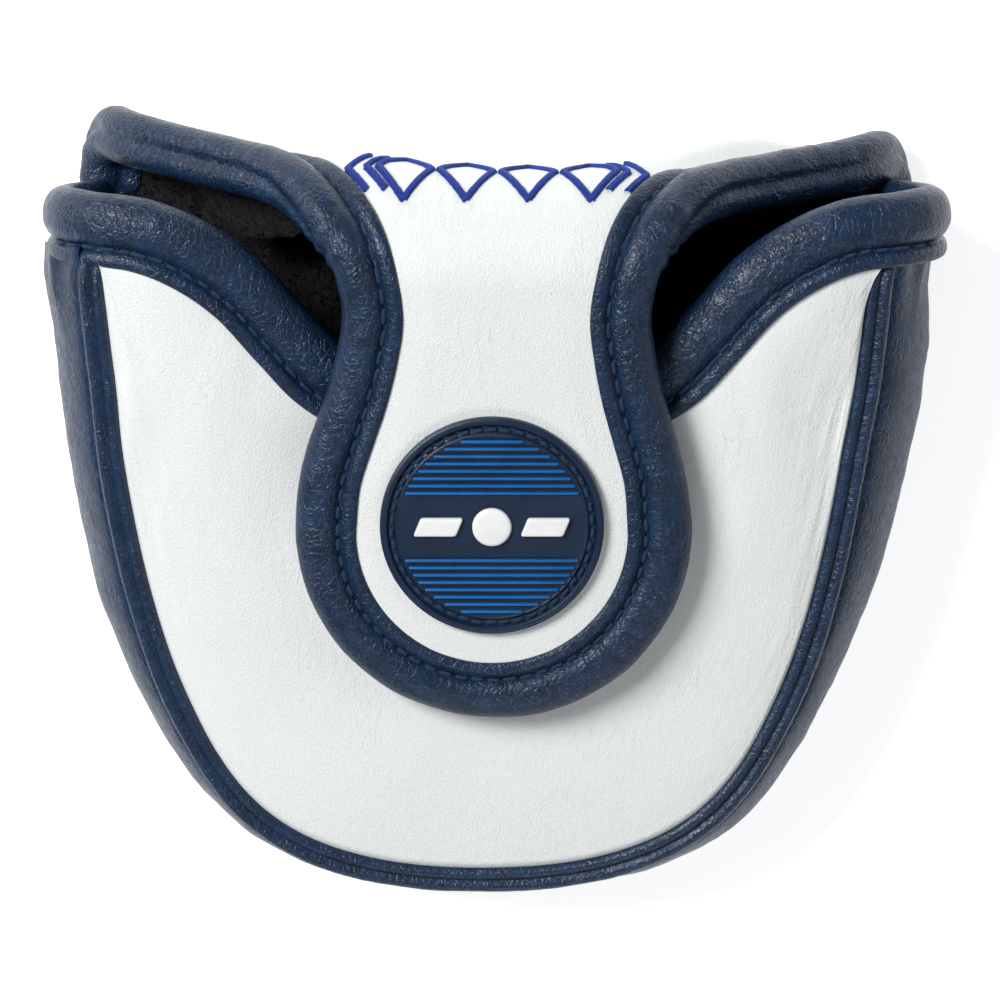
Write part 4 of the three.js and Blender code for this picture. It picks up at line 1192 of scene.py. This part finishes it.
def make_embroidery():
    """A row of outlined diamonds with a chevron at each end, over the top of the face wall."""
    random = np.random.default_rng(21)
    shape = Shape()
    low, high = EMBROIDERY_S
    middle = (low + high) / 2
    for centre in (-15.0, -5.0, 5.0, 15.0):
        for side in (-DIAMOND_HALF, DIAMOND_HALF):
            satin_line(shape, (centre, low), (centre + side, middle), random)
            satin_line(shape, (centre + side, middle), (centre, high), random)
    for side in (-1, 1):
        for shift in (0.0, 3.0):
            tip = (side * (21.3 + shift), middle)
            reach = side * (18.0 + shift)
            for edge in (low + 2.0, high - 2.0):
                satin_line(shape, (reach, edge), tip, random)
    motif = piece("embroidery", shape, BLUE_THREAD)
    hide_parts("embroidery_motif")
    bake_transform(motif)


# ---------- Studio ----------
FLOOR_SIZE, FLOOR_DROP, FLOOR_GLOW = 4, 0.0001, 0.68


def make_floor():
    bpy.ops.mesh.primitive_plane_add(size=FLOOR_SIZE, location=(0, 0, -FLOOR_DROP))
    floor = bpy.context.object
    floor.name = "floor"
    n = Nodes("floor", **{"Specular IOR Level": 0.1, "Emission Strength": FLOOR_GLOW})
    n.shader.inputs["Emission Color"].default_value = (1, 1, 1, 1)
    place = n.add("ShaderNodeTexCoord").outputs["Object"]
    paper = n.noise(place, 40.0, 2)
    colour = n.mix(paper, (0.93, 0.93, 0.93), (0.95, 0.95, 0.95))
    floor.data.materials.append(n.finish(colour, n.ramp(paper, 0, 1, 0.8, 0.9), paper, 0.01))


VIEW_TILT = math.radians(8)
VIEW_DISTANCE = 0.9
VIEW_TARGET = Vector((0.0005, 0.0024, 0.037))
# Name, place and size in metres, and power in watts
AREA_LIGHTS = (("key", (-0.8, 0.55, 1.1), (0.5, 0.6), 22), ("fill", (1.0, 0.1, 0.8), (0.5, 0.8), 1.8),
               ("back", (0.1, -0.95, 0.8), (0.8, 0.4), 3))
WORLD_COLOUR, WORLD_STRENGTH = (0.95, 0.97, 1.0, 1), 0.12


def make_camera():
    data = bpy.data.cameras.new("camera")
    data.sensor_width, data.lens = 36, 200
    camera = bpy.data.objects.new("camera", data)
    back = Vector((0, math.sin(VIEW_TILT), math.cos(VIEW_TILT)))
    camera.location = VIEW_TARGET + back * VIEW_DISTANCE
    camera.rotation_euler = (-VIEW_TILT, 0, 0)
    bpy.context.scene.collection.objects.link(camera)
    bpy.context.scene.camera = camera


def make_lights():
    for name, location, size, power in AREA_LIGHTS:
        data = bpy.data.lights.new(name, "AREA")
        data.shape = "RECTANGLE"
        data.size, data.size_y = size
        data.energy = power
        light = bpy.data.objects.new(name, data)
        light.location = location
        light.rotation_euler = (VIEW_TARGET - light.location).to_track_quat("-Z", "Y").to_euler()
        bpy.context.scene.collection.objects.link(light)
    world = bpy.data.worlds.new("studio")
    world.use_nodes = True
    background = world.node_tree.nodes["Background"]
    background.inputs["Color"].default_value = WORLD_COLOUR
    background.inputs["Strength"].default_value = WORLD_STRENGTH
    bpy.context.scene.world = world
    bpy.context.scene.view_settings.view_transform = "Standard"


def paint_magnets():
    for name in ("sole_magnet", "flap_magnet"):
        node = frame["nodes"][name]
        node.data.materials.clear()
        node.data.materials.append(NICKEL)


for make in (
        make_camera, make_floor, make_lights, make_sole_wall, make_sole_lining, make_gusset,
        make_gusset_lining, make_sole_piping, make_crown_piping, make_mouth_binding, make_lower_strip,
        make_upper_strip, make_flap_binding, make_patch, make_patch_motif, make_patch_stitches,
        make_embroidery, paint_magnets):
    make()
